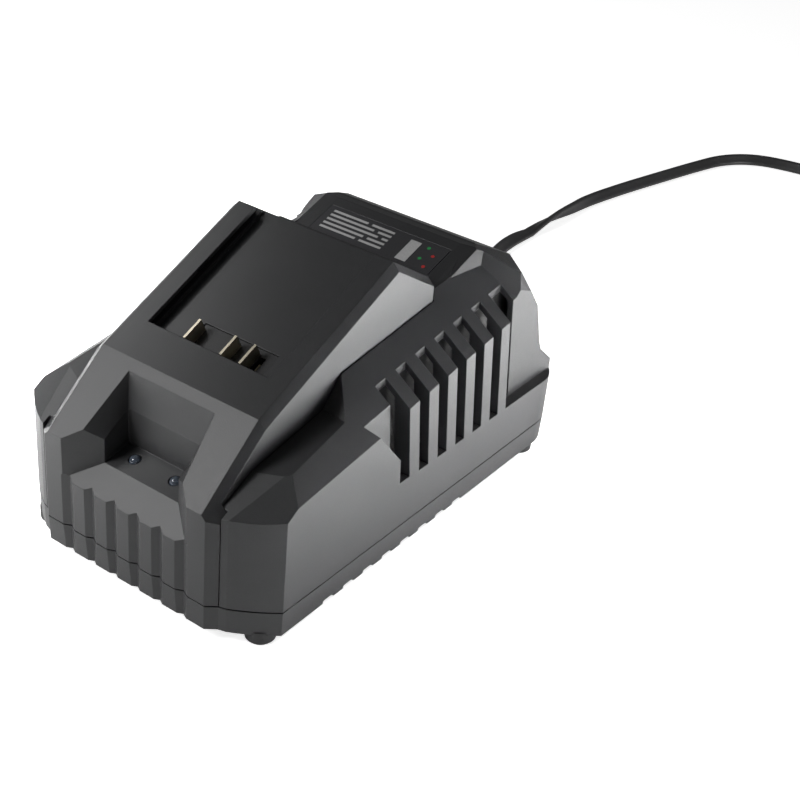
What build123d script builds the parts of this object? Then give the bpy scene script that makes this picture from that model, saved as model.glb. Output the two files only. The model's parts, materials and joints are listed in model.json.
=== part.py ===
"""Mains battery charger for slide-on power tool packs, as separate named sub-parts.

Millimetres, +Z up, +X to the right. The housing is drawn with y = 0 at its front face and z = 0
a little above the table; to_frame() then moves each piece so that the origin is on the table under
the middle of the housing.
"""
import math
import os

from build123d import *

# ---------------------------------------------------------------- overall housing
LENGTH = 198.0
WIDTH = 120.0
FOOT_HEIGHT = 3.0
SEAM_Z = 13.6
WALL = 2.5
SEAM_GROOVE = 0.6
PARTING = 0.4
BASE_DRAFT = 2.0
SIDE_X = WIDTH / 2

# Plan outline: flat front, chamfered pillars, curved corners.
PILLAR_OUT_X = SIDE_X - 22.2
BIB_X = SIDE_X - 18.5
BIB_DEPTH = 3.0
BIB_TOP_Z = 58.2
CORNER_X = SIDE_X - 15.6
CORNER_Y = 3.9
CORNER_END_Y = 15.0
CORNER_MID = (SIDE_X - 7.45, 9.0)
REAR_CORNER_R = 17.0

# ---------------------------------------------------------------- ribs on the front wall
RIB_PITCH = 10.8
RIB_HALF_WIDTH = 2.7
RIB_COUNT = 5
GROOVE_DEPTH = 1.5
PILLAR_IN_X = 30.2

# ---------------------------------------------------------------- shoulders, shelf and front corners
WALL_TOP_Z = 54.0
WALL_TOP_Y = 20.6
SHOULDER_RISE_Y = 0.148
SHOULDER_RISE_X = 0.78
SHELF_Z = 58.6
SHELF_Y = 20.0
SHELF_RISE_Y = 0.20
SHELF_RISE_X = 0.08
SHELF_END_Y = 57.0
SHELF_END_RISE = 1.18
KNEE_X = SIDE_X - 8.8
KNEE_Y = 25.8
KNEE_Z = 61.3
KNEE_SETBACK = 1.6
CORNER_TOP_Z = 50.0

# ---------------------------------------------------------------- side recess, fins and slots
RECESS_DEPTH = 4.4
LEDGE_Z = 33.5
LEDGE_FRONT_Y = 87.0
STEP_TOP_Y = 63.9
STEP_FOOT_Y = 83.3
STEP_FOOT_Z = 38.2
FIN_COUNT = 6
FIN_PITCH = 12.0
FIN_THICKNESS = 6.0
FIN_FIRST_Y = 85.0
REAR_SLOT_EXTRA = 2.6
FIN_LEAN = 0.03
FIN_RAKE = 0.1
SLOT_REACH = 12.0
SLOT_SILL = 0.3
SCREEN_X = 46.6
SCREEN_THICKNESS = 0.5
SCREEN_FRONT_Y = 76.0
SCREEN_REAR_Y = 162.0
SCREEN_GAP = 5.0

# ---------------------------------------------------------------- battery dock
DOCK_HALF_WIDTH = 39.0
DOCK_CHAMFER = 3.0
SLOPE_FOOT_Z = 50.2
FOLD_Y = 26.9
FOLD_Z = 74.4
ROOF_REAR_Y = 97.0
ROOF_REAR_Z = 108.1
TAIL_TOP_Z = 94.8
TAIL_Y = 119.5
DOCK_END_Y = 121.0
SKIRT_DEPTH = 5.0
CHANNEL_HALF_WIDTH = 28.0
CHANNEL_DEPTH = 5.5
CHANNEL_START = 15.5
RAIL_LIP = 1.6
RAIL_UNDERCUT = 2.8
RAIL_GROOVE = 2.6
RAIL_NOTCH_LENGTH = 6.0
RAIL_NOTCH_DEPTH = 1.2
RAIL_NOTCH_AT = 43.0
RAIL_SKIN = 0.5

# ---------------------------------------------------------------- indicator bay in the front slope
BAY_HALF_WIDTH = 17.5
BAY_TOP_HALF_WIDTH = 20.0
BAY_TOP_Y = 23.5
BAY_BACK_Y = 20.5
BAY_KINK_BACK_Z = 58.5
BAY_KINK_FRONT_Z = 51.0
BAY_FRONT_Y = 9.0
BAY_MOUTH_X = 29.5
PANEL_FRONT_Z = 41.3
PANEL_BACK_Z = 44.5
PANEL_WALL = 2.4
LEDGE_SLOPE = 0.84

# ---------------------------------------------------------------- indicators
LED_X = 9.6
LED_Y = 15.6
LED_DIAMETER = 4.4
LED_HOLE = 4.9
LED_FLANGE = 5.8
LED_FLANGE_HEIGHT = 1.0
LED_RISE = -0.9
LED_LEG = 3.0
LED_LEG_WIDTH = 0.6
LED_LEG_SPACING = 2.54
LED_BOARD_SIZE = (34.0, 9.0, 1.6)
LED_POST_X = 14.6
LED_POST_DIAMETER = 3.6

# ---------------------------------------------------------------- label hood behind the dock
HOOD_HALF_WIDTH = 36.5
HOOD_FOOT_X = 39.7
HOOD_FRONT_Y = DOCK_END_Y + 9.0
HOOD_FRONT_Z = 88.1
HOOD_CREST_Y = DOCK_END_Y + 30.0
HOOD_CREST_Z = 95.7
HOOD_BACK_Y = DOCK_END_Y + 35.5
HOOD_BACK_Z = 95.0
BORDER_FALL = 0.9
HOOD_OVERLAP = 20.0
HOOD_SKIM = 0.5
LABEL_HALF_WIDTH = 29.0
LABEL_LENGTH = 16.2
LABEL_START = 1.0
LABEL_THICKNESS = 0.4
LABEL_SINK = 0.25

# ---------------------------------------------------------------- rear cap behind the hood
CAP_TOP = (36.0, 154.0, 95.0)
CAP_FOOT = (56.0, 158.0, 77.3)
CAP_SIDE_END = (56.0, 172.0, 71.8)
CAP_KNEE = (51.5, 164.0, 86.3)
CAP_REAR = (40.5, 172.0, 88.0)
REAR_PROFILE = [(183.0, 46.0), (181.0, 50.0), (175.0, 71.0), (172.0, 88.0)]

# ---------------------------------------------------------------- terminals
WINDOW_LEFT = -12.5
WINDOW_RIGHT = 21.5
WINDOW_LENGTH = 12.0
TERMINAL_FLANGE = 7.5
TERMINAL_FLANGE_HEIGHT = 2.5
TERMINAL_HEIGHT = 11.0
TERMINAL_MARGIN = 3.0
POCKET_DEPTH = 6.0
POCKET_LEFT = 15.2
POCKET_RIGHT = 17.9
POCKET_LENGTH = 8.4
POCKET_WALL = 1.2
BLOCK_SINK = 0.4
BLOCK_GAP = 0.2
BLADE_X = {"negative": -11.2, "sense": 5.6, "positive": 14.4}
BLADE_THICKNESS = 1.0
BLADE_LENGTH = 9.2
BLADE_START = 0.4
BLADE_TAIL = 5.0
SPRING_X = 16.6
SPRING_WIDTH = 3.0
SPRING_THICKNESS = 0.6
TERMINAL_SCREW_D = 2.2
TERMINAL_SCREW_HEAD = 4.2
TERMINAL_SCREW_BITE = 1.8
TERMINAL_SCREW_INSET = 3.4

# ---------------------------------------------------------------- base details
FOOT_DIAMETER = 11.0
FOOT_X = SIDE_X - 9.0
FOOT_FRONT_Y = 14.5
FOOT_REAR_X = SIDE_X - 6.5
FOOT_REAR_Y = LENGTH - 18.5
FOOT_SEAT = 1.0
FOOT_DROP = 1.5
BOSS_DIAMETER = 8.0
BOSS_X = SIDE_X - 14.0
BOSS_FRONT_Y = 28.0
BOSS_REAR_X = SIDE_X - 20.0
BOSS_REAR_Y = LENGTH - 20.0
DOCK_BOSS_X = 31.0
DOCK_BOSS_Y = 19.0
SCREW_DIAMETER = 2.9
SCREW_HEAD = 5.8
SCREW_HEAD_HEIGHT = 2.2
SCREW_BITE = 14.0
SCREW_CLEARANCE = 0.1
COUNTERBORE = 6.8
COUNTERBORE_TOP = 6.5
KEYHOLE_HEAD = 8.0
KEYHOLE_SLOT = 4.2
KEYHOLE_TRAVEL = 7.0
KEYHOLE_SPACING = 80.0
NOTCH_FIRST_Y = 40.8
NOTCH_PITCH = 11.62
NOTCH_COUNT = 8
NOTCH_LENGTH = 6.0
NOTCH_HEIGHT = 1.3
NOTCH_REACH = 4.0

# ---------------------------------------------------------------- power board
BOARD_FRONT_Y = 34.0
BOARD_REAR_GAP = 26.0
BOARD_SIZE = (92.0, LENGTH - BOARD_FRONT_Y - BOARD_REAR_GAP, 1.6)
BOARD_Z = 14.0
STANDOFF_DIAMETER = 7.0
STANDOFF_INSET = 5.0
BOARD_SCREW_D = 2.4
BOARD_SCREW_HEAD = 4.6
BOARD_SCREW_LENGTH = 7.0
BOARD_SCREW_HEAD_HEIGHT = 1.8
BOARD_TOP = BOARD_Z + BOARD_SIZE[2]
VENT_COUNT = 6
VENT_WIDTH = 3.0
VENT_LENGTH = 26.0
VENT_PITCH = 8.0
VENT_Y = LENGTH / 2
VENT_X = 26.0

# Components on the board: place of the middle (x, y) and size.
CORE_AT = (10.0, LENGTH * 0.465)
CORE_SIZE = (38.0, 14.0, 32.0)
CORE_WINDOW = (8.0, 20.0)
CORE_LEG = 12.0
BOBBIN_SIZE = (34.0, 30.0, 4.0)
WINDING_DEPTH = 28.0
BULK_AT = (-27.0, LENGTH * 0.616)
BULK_DIAMETER = 22.0
BULK_HEIGHT = 36.0
CHOKE_AT = (-14.0, LENGTH * 0.768)
CHOKE_SIZE = (24.0, 10.0, 22.0)
CHOKE_LEG = 5.0
CHOKE_COIL = (8.5, 15.0, 11.0)
FILTER_CAP_AT = (12.0, LENGTH * 0.798)
FILTER_CAP_SIZE = (18.0, 8.0, 15.0)
RECTIFIER_AT = (12.0, LENGTH * 0.697)
RECTIFIER_SIZE = (25.0, 4.5, 16.0)
FUSE_AT = (-40.0, LENGTH * 0.737)
FUSE_DIAMETER = 5.2
FUSE_LENGTH = 20.0
FUSE_CAP = 5.0
FUSE_LIFT = 1.4
SINK_LEFT_AT = (-30.0, LENGTH * 0.424)
SINK_RIGHT_AT = (39.0, LENGTH * 0.424)
SINK_SIZE = (2.5, 40.0, 30.0)
SINK_FIN = (5.0, 1.5)
SINK_FIN_COUNT = 4
PACKAGE_SIZE = (4.4, 10.0, 15.0)
PACKAGE_LIFT = 6.0
OUTPUT_CAP_DIAMETER = 12.5
OUTPUT_CAP_HEIGHT = 24.0
OUTPUT_CAP_X = 26.0
OUTPUT_CAP_YS = (44.0, 59.0)
CHIP_AT = (-12.0, 62.0)
CHIP_SIZE = (10.0, 6.5, 2.2)
COUPLER_AT = (-12.0, 76.0)
COUPLER_SIZE = (6.5, 4.6, 3.6)
SOCKET_AT = (3.0, 44.0)
SOCKET_SIZE = (24.0, 7.0, 9.0)
PLUG_IN_AT = (-26.0, 44.0)
PLUG_IN_SIZE = (12.0, 6.0, 7.0)
INLET_FROM_CHOKE = 12.3
INLET_AT = (-30.0, CHOKE_AT[1] + INLET_FROM_CHOKE)
INLET_SIZE = (14.0, 9.0, 11.0)
WIRE_DIAMETER = 2.4
SIGNAL_WIRE_DIAMETER = 1.4

# ---------------------------------------------------------------- mains lead
CORD_WIDTH = 6.4
CORD_THICKNESS = 3.6
EXIT_X = -30.0
EXIT_Z = 22.0
BOOT_LENGTH = 30.0
BOOT_ROOT = 10.4
BOOT_TIP = 8.0
BOOT_NECK = 9.0
BOOT_FLANGE = 13.0
BOOT_FLANGE_LENGTH = 2.2
BOOT_INNER_LENGTH = 9.0
BOOT_STUB = 8.0
CLAMP_HALF_LENGTH = 14.0
CLAMP_WIDTH = 6.0
CLAMP_HEIGHT = 6.0
CLAMP_SCREW_SPACING = 20.0
COIL_RADIUS = 36.8
COIL_TURNS_WIDE = 3
COIL_TURNS_HIGH = 2
COIL_CENTRE = (76.0, 535.9)
TIE_WIDTH = 9.0
TIE_THICKNESS = 1.2
TIE_ANGLE = 315.0
PLUG_LENGTH = 34.0
PLUG_WIDTH = 35.0
PLUG_HEIGHT = 13.6
PLUG_NECK_LENGTH = 12.0
PIN_DIAMETER = 4.0
PIN_LENGTH = 19.0
PIN_SPACING = 18.6

# Centre line of the lead, from the tip of its boot to where it joins the coil, in the part's own
# frame. It drops to the table behind the housing and lies on it from there on.
LEAD_ROUTE = [
    (-30.0, 129.0, 23.5),
    (-30.4, 145.0, 22.6),
    (-32.6, 162.0, 18.2),
    (-37.2, 180.0, 10.6),
    (-44.2, 199.5, 4.8),
    (-52.0, 220.0, 2.3),
    (-57.2, 242.0, 1.9),
    (-58.8, 269.0, 1.9),
    (-57.8, 299.5, 1.9),
    (-56.0, 333.5, 1.9),
    (-50.2, 367.5, 1.9),
    (-41.8, 405.5, 1.9),
    (-34.0, 439.5, 1.9),
    (-27.0, 465.5, 1.9),
    (-12.0, 483.5, 1.9),
    (10.0, 490.5, 1.9),
    (36.0, 492.7, 1.9),
    (68.0, 492.7, 1.9),
]

# Centre line of the lead's tail, from the top of the coil to the neck of the plug, measured from
# the middle of the coil.
TAIL_ROUTE = [
    (38.0, 18.0, 9.0),
    (27.0, 31.5, 9.0),
    (11.0, 38.5, 9.0),
    (-7.0, 36.5, 9.6),
    (-22.5, 27.0, 11.2),
    (-31.0, 12.0, 13.2),
    (-32.5, -5.0, 14.0),
]

BIG = 600.0
SKY = 130.0
UNDER_CHANNEL = CHANNEL_DEPTH + WALL
FLOOR_TOP = FOOT_HEIGHT + WALL
LOW = (Align.CENTER, Align.CENTER, Align.MIN)


# ---------------------------------------------------------------- helpers
def to_frame(shape):
    """Move a piece from the drawing's datum to the part's origin, on the table under the middle."""
    return shape.moved(Location((0, -LENGTH / 2, FOOT_DROP)))


def save(name, *shapes):
    """Write one node from one or more solids."""
    solids = [solid for shape in shapes for solid in shape.solids()]
    whole = solids[0] if len(solids) == 1 else Compound(children=solids)
    export_step(whole, f"parts/{name}.step")


def mirrored(shape):
    """A piece and its mirror image across the middle plane."""
    return [shape, mirror(shape, about=Plane.YZ)]


def both_sides(shape):
    """One shape made of a piece and its mirror image."""
    return Part() + mirrored(shape)


def above(p, q, r, inset=0.0):
    """Everything above the plane through three points, once the plane is lowered by inset."""
    normal = (Vector(*q) - Vector(*p)).cross(Vector(*r) - Vector(*p)).normalized()
    if normal.Z < 0:
        normal = normal * -1
    plane = Plane(origin=Vector(*p) - normal * inset, z_dir=normal)
    return plane * Box(BIG, BIG, BIG, align=(Align.CENTER, Align.CENTER, Align.MIN))


def side_prism(points, x_from, x_to):
    """A prism along X from an outline of (y, z) points."""
    outline = Polyline([(x_from, y, z) for y, z in points], close=True)
    return extrude(make_face(outline), amount=x_to - x_from, dir=(1, 0, 0))


def front_prism(points, y_from, y_to):
    """A prism along Y from an outline of (x, z) points."""
    outline = Polyline([(x, y_from, z) for x, z in points], close=True)
    return extrude(make_face(outline), amount=y_to - y_from, dir=(0, 1, 0))


def plan_prism(points, z_from, z_to):
    """A prism along Z from an outline of (x, y) points."""
    outline = Polyline([(x, y, z_from) for x, y in points], close=True)
    return extrude(make_face(outline), amount=z_to - z_from, dir=(0, 0, 1))


def block(x_from, x_to, y_from, y_to, z_from, z_to):
    """A box between two corners."""
    size = (x_to - x_from, y_to - y_from, z_to - z_from)
    return Pos(x_from, y_from, z_from) * Box(*size, align=(Align.MIN, Align.MIN, Align.MIN))


def post(x, y, z_from, z_to, diameter):
    """An upright cylinder."""
    return Pos(x, y, z_from) * Cylinder(diameter / 2, z_to - z_from, align=LOW)


def roof_post(x, depth, height, diameter):
    """A cylinder square to the roof, over the middle of the terminal window, from a depth upward."""
    return rail_frame() * Pos(x, terminal_middle(), depth) * Cylinder(diameter / 2, height, align=LOW)


def panel_post(x, depth, height, diameter):
    """A cylinder square to the indicator panel, from a depth upward."""
    return panel_frame() * Pos(x, 0, depth) * Cylinder(diameter / 2, height, align=LOW)


def on_board(place, size):
    """A box that stands on the power board."""
    return Pos(*place, BOARD_TOP) * Box(*size, align=LOW)


def tube(points, diameter, bend):
    """A round wire along a route, bent with one radius at every corner."""
    path = FilletPolyline(*points, radius=bend)
    profile = Plane(origin=path @ 0, z_dir=path % 0) * Circle(diameter / 2)
    return sweep(profile, path=path)


# ---------------------------------------------------------------- outline and top planes
def plan_outline(inset=0.0):
    """The housing seen from above, as a face at z = 0, shrunk by inset."""
    rear_arc = REAR_CORNER_R * (1 - math.sqrt(0.5))
    front = Line((0, 0), (PILLAR_OUT_X, 0))
    chamfer = Line(front @ 1, (BIB_X, BIB_DEPTH))
    strip = Line(chamfer @ 1, (CORNER_X, CORNER_Y))
    corner = ThreePointArc(strip @ 1, CORNER_MID, (SIDE_X, CORNER_END_Y))
    side = Line(corner @ 1, (SIDE_X, LENGTH - REAR_CORNER_R))
    rear_mid = (SIDE_X - rear_arc, LENGTH - rear_arc)
    rear_corner = ThreePointArc(side @ 1, rear_mid, (SIDE_X - REAR_CORNER_R, LENGTH))
    rear = Line(rear_corner @ 1, (0, LENGTH))
    half = Curve() + [front, chamfer, strip, corner, side, rear_corner, rear]
    face = make_face(half + mirror(half, about=Plane.YZ))
    return offset(face, amount=-inset, kind=Kind.INTERSECTION) if inset else face


def shoulder_z(x, y):
    """Height of the right-hand shoulder plane."""
    return WALL_TOP_Z + SHOULDER_RISE_Y * (y - WALL_TOP_Y) + SHOULDER_RISE_X * (SIDE_X - x)


def shelf_z(x, y):
    """Height of the right-hand shelf beside the front slope."""
    return SHELF_Z + SHELF_RISE_Y * (y - SHELF_Y) + SHELF_RISE_X * (x - DOCK_HALF_WIDTH)


def hood_z(y):
    """Height of the sloping label surface."""
    return HOOD_FRONT_Z + (HOOD_CREST_Z - HOOD_FRONT_Z) * (y - HOOD_FRONT_Y) / (HOOD_CREST_Y - HOOD_FRONT_Y)


def slope_z(y):
    """Height of the front slope of the dock."""
    return SLOPE_FOOT_Z + (FOLD_Z - SLOPE_FOOT_Z) * y / FOLD_Y


def ledge_z(y):
    """Height of the ledge over the ribs, in front of the indicator panel."""
    return PANEL_FRONT_Z + LEDGE_SLOPE * (y - BAY_FRONT_Y)


def rail_frame():
    """The roof of the dock as a plane: x to the right, y up the slope, z out of the roof."""
    tilt = math.degrees(math.atan2(ROOF_REAR_Z - FOLD_Z, ROOF_REAR_Y - FOLD_Y))
    return Plane(origin=(0, FOLD_Y, FOLD_Z), x_dir=(1, 0, 0), z_dir=(0, 0, 1)).rotated((tilt, 0, 0))


def panel_frame():
    """The indicator panel as a plane, with its origin between the two indicators."""
    tilt = math.degrees(math.atan2(PANEL_BACK_Z - PANEL_FRONT_Z, BAY_BACK_Y - BAY_FRONT_Y))
    height = PANEL_FRONT_Z + math.tan(math.radians(tilt)) * (LED_Y - BAY_FRONT_Y)
    return Plane(origin=(0, LED_Y, height), x_dir=(1, 0, 0), z_dir=(0, 0, 1)).rotated((tilt, 0, 0))


# ---------------------------------------------------------------- upper housing
def shoulder_cuts(inset):
    """Everything above the right-hand shoulder, shelf and corner facets."""
    shoulder = above(
        (SIDE_X, WALL_TOP_Y, shoulder_z(SIDE_X, WALL_TOP_Y)),
        (DOCK_HALF_WIDTH, WALL_TOP_Y, shoulder_z(DOCK_HALF_WIDTH, WALL_TOP_Y)),
        (SIDE_X, LENGTH, shoulder_z(SIDE_X, LENGTH)),
        inset,
    )
    inner = (DOCK_HALF_WIDTH, SHELF_Y, SHELF_Z)
    shelf_end = (DOCK_HALF_WIDTH, SHELF_END_Y, shelf_z(DOCK_HALF_WIDTH, SHELF_END_Y))
    knee = (KNEE_X, KNEE_Y, KNEE_Z)
    end_y = SHELF_END_Y - KNEE_SETBACK
    knee_end = (KNEE_X, end_y, shelf_z(KNEE_X, end_y))
    shelf = above(inner, shelf_end, knee_end, inset)
    lift = shelf_end[2] + SHELF_END_RISE * 9.0
    riser = above(shelf_end, knee_end, (DOCK_HALF_WIDTH, SHELF_END_Y + 9.0, lift), inset)
    corner_in = (CORNER_X, CORNER_Y, CORNER_TOP_Z)
    corner_side = (SIDE_X, CORNER_END_Y, CORNER_TOP_Z + 0.7)
    corner_outer = above(corner_in, corner_side, knee, inset)
    corner_inner = above(corner_in, inner, knee, inset)
    right_half = block(0, BIG, -BIG, BIG, -BIG, BIG)
    return [shoulder, shelf & riser & right_half, corner_outer, corner_inner]


def cap_front(inset):
    """Everything in front of the right-hand facet that rises from the shoulder to the rear cap."""
    foot = (HOOD_FOOT_X, HOOD_CREST_Y + 1, shoulder_z(HOOD_FOOT_X, HOOD_CREST_Y + 1))
    return above(foot, CAP_FOOT, CAP_TOP, inset)


def cap_corner(inset):
    """Everything above the three right-hand facets that round the corner of the rear cap."""
    return [
        above(CAP_TOP, CAP_KNEE, CAP_REAR, inset),
        above(CAP_FOOT, CAP_SIDE_END, CAP_KNEE, inset),
        above(CAP_SIDE_END, CAP_KNEE, CAP_REAR, inset),
    ]


def rear_space(inset):
    """Everything behind the rear wall and over the sloping rear panel."""
    outline = [(BIG, LEDGE_Z), (LENGTH, LEDGE_Z)] + REAR_PROFILE
    outline += [(HOOD_BACK_Y, HOOD_BACK_Z), (HOOD_BACK_Y, SKY), (BIG, SKY)]
    face = make_face(Polyline(outline, close=True))
    if inset:
        face = offset(face, amount=inset, kind=Kind.INTERSECTION)
    return extrude(Plane.YZ.offset(-BIG) * face, amount=BIG * 2, dir=(1, 0, 0))


def side_recess(inset):
    """The space outside the recessed upper walls, over the ledge and its sloping front end."""
    step_rise = (shoulder_z(SIDE_X, STEP_TOP_Y) - STEP_FOOT_Z) / (STEP_FOOT_Y - STEP_TOP_Y)
    over_y = STEP_TOP_Y - (SKY - shoulder_z(SIDE_X, STEP_TOP_Y)) / step_rise
    points = [(over_y, SKY), (STEP_FOOT_Y, STEP_FOOT_Z), (LEDGE_FRONT_Y, LEDGE_Z), (BIG, LEDGE_Z), (BIG, SKY)]
    lowered = [(y - inset, z - inset) for y, z in points]
    return side_prism(lowered, -BIG, BIG) - leaning_core(SIDE_X - RECESS_DEPTH - inset)


def leaning_core(half_width):
    """A bar along the housing whose sides lean in; half_width is at the height of the ledge."""
    low = half_width + FIN_LEAN * (LEDGE_Z + SKY)
    high = half_width - FIN_LEAN * (SKY - LEDGE_Z)
    return front_prism([(-low, -SKY), (low, -SKY), (high, SKY), (-high, SKY)], -BIG, BIG)


def hood_form(inset):
    """The raised hood that carries the label, behind the dock."""
    start_y = DOCK_END_Y - HOOD_OVERLAP
    profile = [
        (start_y, SEAM_Z),
        (start_y, hood_z(start_y) - inset),
        (HOOD_CREST_Y, HOOD_CREST_Z - inset),
        (HOOD_BACK_Y, HOOD_BACK_Z - inset),
        (LENGTH - inset, HOOD_BACK_Z - inset),
        (LENGTH - inset, SEAM_Z),
    ]
    hood = side_prism(profile, -HOOD_FOOT_X, HOOD_FOOT_X)
    foot = (HOOD_FOOT_X, HOOD_CREST_Y + 1, shoulder_z(HOOD_FOOT_X, HOOD_CREST_Y + 1))
    crest = (HOOD_HALF_WIDTH, HOOD_CREST_Y, HOOD_CREST_Z)
    bevel = above((HOOD_HALF_WIDTH, HOOD_FRONT_Y, HOOD_FRONT_Z), crest, foot, inset)
    border_in = LABEL_HALF_WIDTH + 1
    border = above(
        (border_in, HOOD_FRONT_Y, HOOD_FRONT_Z),
        (border_in, HOOD_CREST_Y, HOOD_CREST_Z),
        (HOOD_HALF_WIDTH, HOOD_CREST_Y, HOOD_CREST_Z - BORDER_FALL),
        inset,
    )
    for cut in [bevel, border]:
        hood -= mirrored(cut)
    return hood


def rear_cap(inset):
    """The block across the rear, a little wider than the hood in front of it."""
    wall_x = SIDE_X - RECESS_DEPTH - inset
    cap = block(-wall_x, wall_x, HOOD_CREST_Y, LENGTH - inset, SEAM_Z, HOOD_BACK_Z - inset)
    for cut in [cap_front(inset)] + cap_corner(inset):
        cap -= mirrored(cut)
    return cap


def upper_form(inset=0.0):
    """Outer form of the upper housing, or its cavity when inset is the wall thickness."""
    shape = Pos(0, 0, SEAM_Z - inset) * extrude(plan_outline(inset), amount=SKY)
    form = shape
    for cut in shoulder_cuts(inset):
        form -= mirrored(cut)
    valley = HOOD_HALF_WIDTH - inset
    low = inset + HOOD_SKIM
    form -= side_prism(
        [
            (-BIG, hood_z(-BIG) - low),
            (HOOD_CREST_Y, HOOD_CREST_Z - low),
            (LENGTH + BIG, HOOD_CREST_Z - low),
            (LENGTH + BIG, BIG),
            (-BIG, BIG),
        ],
        -valley,
        valley,
    )
    form += (hood_form(inset) + rear_cap(inset)) & shape
    behind = block(-BIG, BIG, HOOD_CREST_Y + 1, BIG, -BIG, BIG)
    for cut in cap_corner(inset):
        form -= [side & behind for side in mirrored(cut)]
    form -= rear_space(inset)
    return form - side_recess(inset)


def side_slots():
    """The right-hand cooling slots: one before each fin and a wider one after the last."""
    width = FIN_PITCH - FIN_THICKNESS
    slots = [side_slot(FIN_FIRST_Y - width + FIN_PITCH * index, width) for index in range(FIN_COUNT)]
    return slots + [side_slot(FIN_FIRST_Y - width + FIN_PITCH * FIN_COUNT, width + REAR_SLOT_EXTRA)]


def raked_bar(start, width, z_from, x_to):
    """An upright bar beside the housing that leans forward; start is its front edge at the ledge."""
    low = start - FIN_RAKE * (z_from - LEDGE_Z)
    high = start - FIN_RAKE * (SKY - LEDGE_Z)
    outline = [(low, z_from), (low + width, z_from), (high + width, SKY), (high, SKY)]
    return side_prism(outline, SIDE_X - SLOT_REACH, x_to)


def side_fins():
    """The right-hand fins, trimmed to the shoulder and to their own leaning plane."""
    fins = Part()
    for index in range(FIN_COUNT):
        fins += raked_bar(FIN_FIRST_Y + FIN_PITCH * index, FIN_THICKNESS, LEDGE_Z - 1, SIDE_X)
    fins -= leaning_core(SIDE_X - RECESS_DEPTH - WALL)
    over_ledge = block(-BIG, BIG, -BIG, BIG, LEDGE_Z, SKY)
    fins -= over_ledge - leaning_core(SIDE_X)
    return fins - shoulder_cuts(0.0)[0]


def side_slot(start, width):
    """One right-hand slot, through the recessed wall and the edge of the shoulder."""
    return raked_bar(start, width, LEDGE_Z + SLOT_SILL, SIDE_X + 2)


def make_screens():
    """Thin insulating sheets that stand inside the housing, behind the slots."""
    outline = [(SCREEN_FRONT_Y, FLOOR_TOP), (SCREEN_REAR_Y, FLOOR_TOP)]
    for y in (SCREEN_REAR_Y, SCREEN_FRONT_Y):
        outline.append((y, shoulder_z(SCREEN_X, y) - SCREEN_GAP))
    return mirrored(side_prism(outline, SCREEN_X, SCREEN_X + SCREEN_THICKNESS))


def dock_opening(gap):
    """The space that the dock cover takes up in the upper housing."""
    half = DOCK_HALF_WIDTH + gap
    opening = block(-half, half, -1, DOCK_END_Y + gap, SEAM_Z - 1, SKY)
    bib = BIB_X + gap
    return opening + block(-bib, bib, -1, CORNER_Y + WALL, SEAM_Z - 1, BIB_TOP_Z)


def upper_bosses():
    """Screw bosses that hang from the inside of the upper housing."""
    bosses = Part()
    for x, y in [(BOSS_X, BOSS_FRONT_Y), (BOSS_REAR_X, BOSS_REAR_Y)]:
        bosses += post(x, y, SEAM_Z, SKY, BOSS_DIAMETER)
    return both_sides(bosses)


def bib_stops():
    """Ribs inside the front corners that close the space behind the bib of the dock cover."""
    rear = CORNER_Y + WALL
    return both_sides(block(DOCK_HALF_WIDTH, CORNER_X, rear - WALL, rear + WALL, SEAM_Z, SKY))


def make_upper_housing():
    """Outer shell with shoulders, fins, slots, hood and cord hole."""
    outer = upper_form()
    shell = outer - upper_form(WALL)
    shell += (upper_bosses() + bib_stops()) & outer
    shell += mirrored(side_fins())
    for slot in side_slots():
        shell -= mirrored(slot)
    shell -= dock_opening(PARTING)
    for x, y in [(BOSS_X, BOSS_FRONT_Y), (BOSS_REAR_X, BOSS_REAR_Y)]:
        hole = post(x, y, SEAM_Z - 1, SEAM_Z + SCREW_BITE, SCREW_DIAMETER + SCREW_CLEARANCE)
        shell -= mirrored(hole)
    shell -= Pos(EXIT_X, LENGTH, EXIT_Z) * Rot(90, 0, 0) * Cylinder(BOOT_NECK / 2, WALL * 4)
    shell -= label_sheet(LABEL_SINK, 0.2)
    return shell


def label_sheet(sink, gap):
    """A thin sheet on the label surface, sunk by sink and grown by gap on each edge."""
    tilt = math.degrees(math.atan2(HOOD_CREST_Z - HOOD_FRONT_Z, HOOD_CREST_Y - HOOD_FRONT_Y))
    surface = Plane(origin=(0, HOOD_FRONT_Y, HOOD_FRONT_Z)).rotated((tilt, 0, 0))
    width = (LABEL_HALF_WIDTH + gap) * 2
    length = LABEL_LENGTH + gap * 2
    sheet = Box(width, length, LABEL_THICKNESS, align=(Align.CENTER, Align.MIN, Align.MIN))
    return surface * Pos(0, LABEL_START - gap, -sink) * sheet


# ---------------------------------------------------------------- dock cover
def dock_profile(inset=0.0):
    """Side outline of the dock, from the base seam over the roof to its tail."""
    return [
        (inset, SEAM_Z - inset),
        (inset, SLOPE_FOOT_Z - inset * 0.4),
        (FOLD_Y + inset * 0.3, FOLD_Z - inset),
        (ROOF_REAR_Y, ROOF_REAR_Z - inset * 1.15),
        (TAIL_Y - inset * 0.5, TAIL_TOP_Z - inset),
        (DOCK_END_Y - inset, TAIL_TOP_Z - inset * 1.5),
        (DOCK_END_Y - inset, SEAM_Z - inset),
    ]


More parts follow.
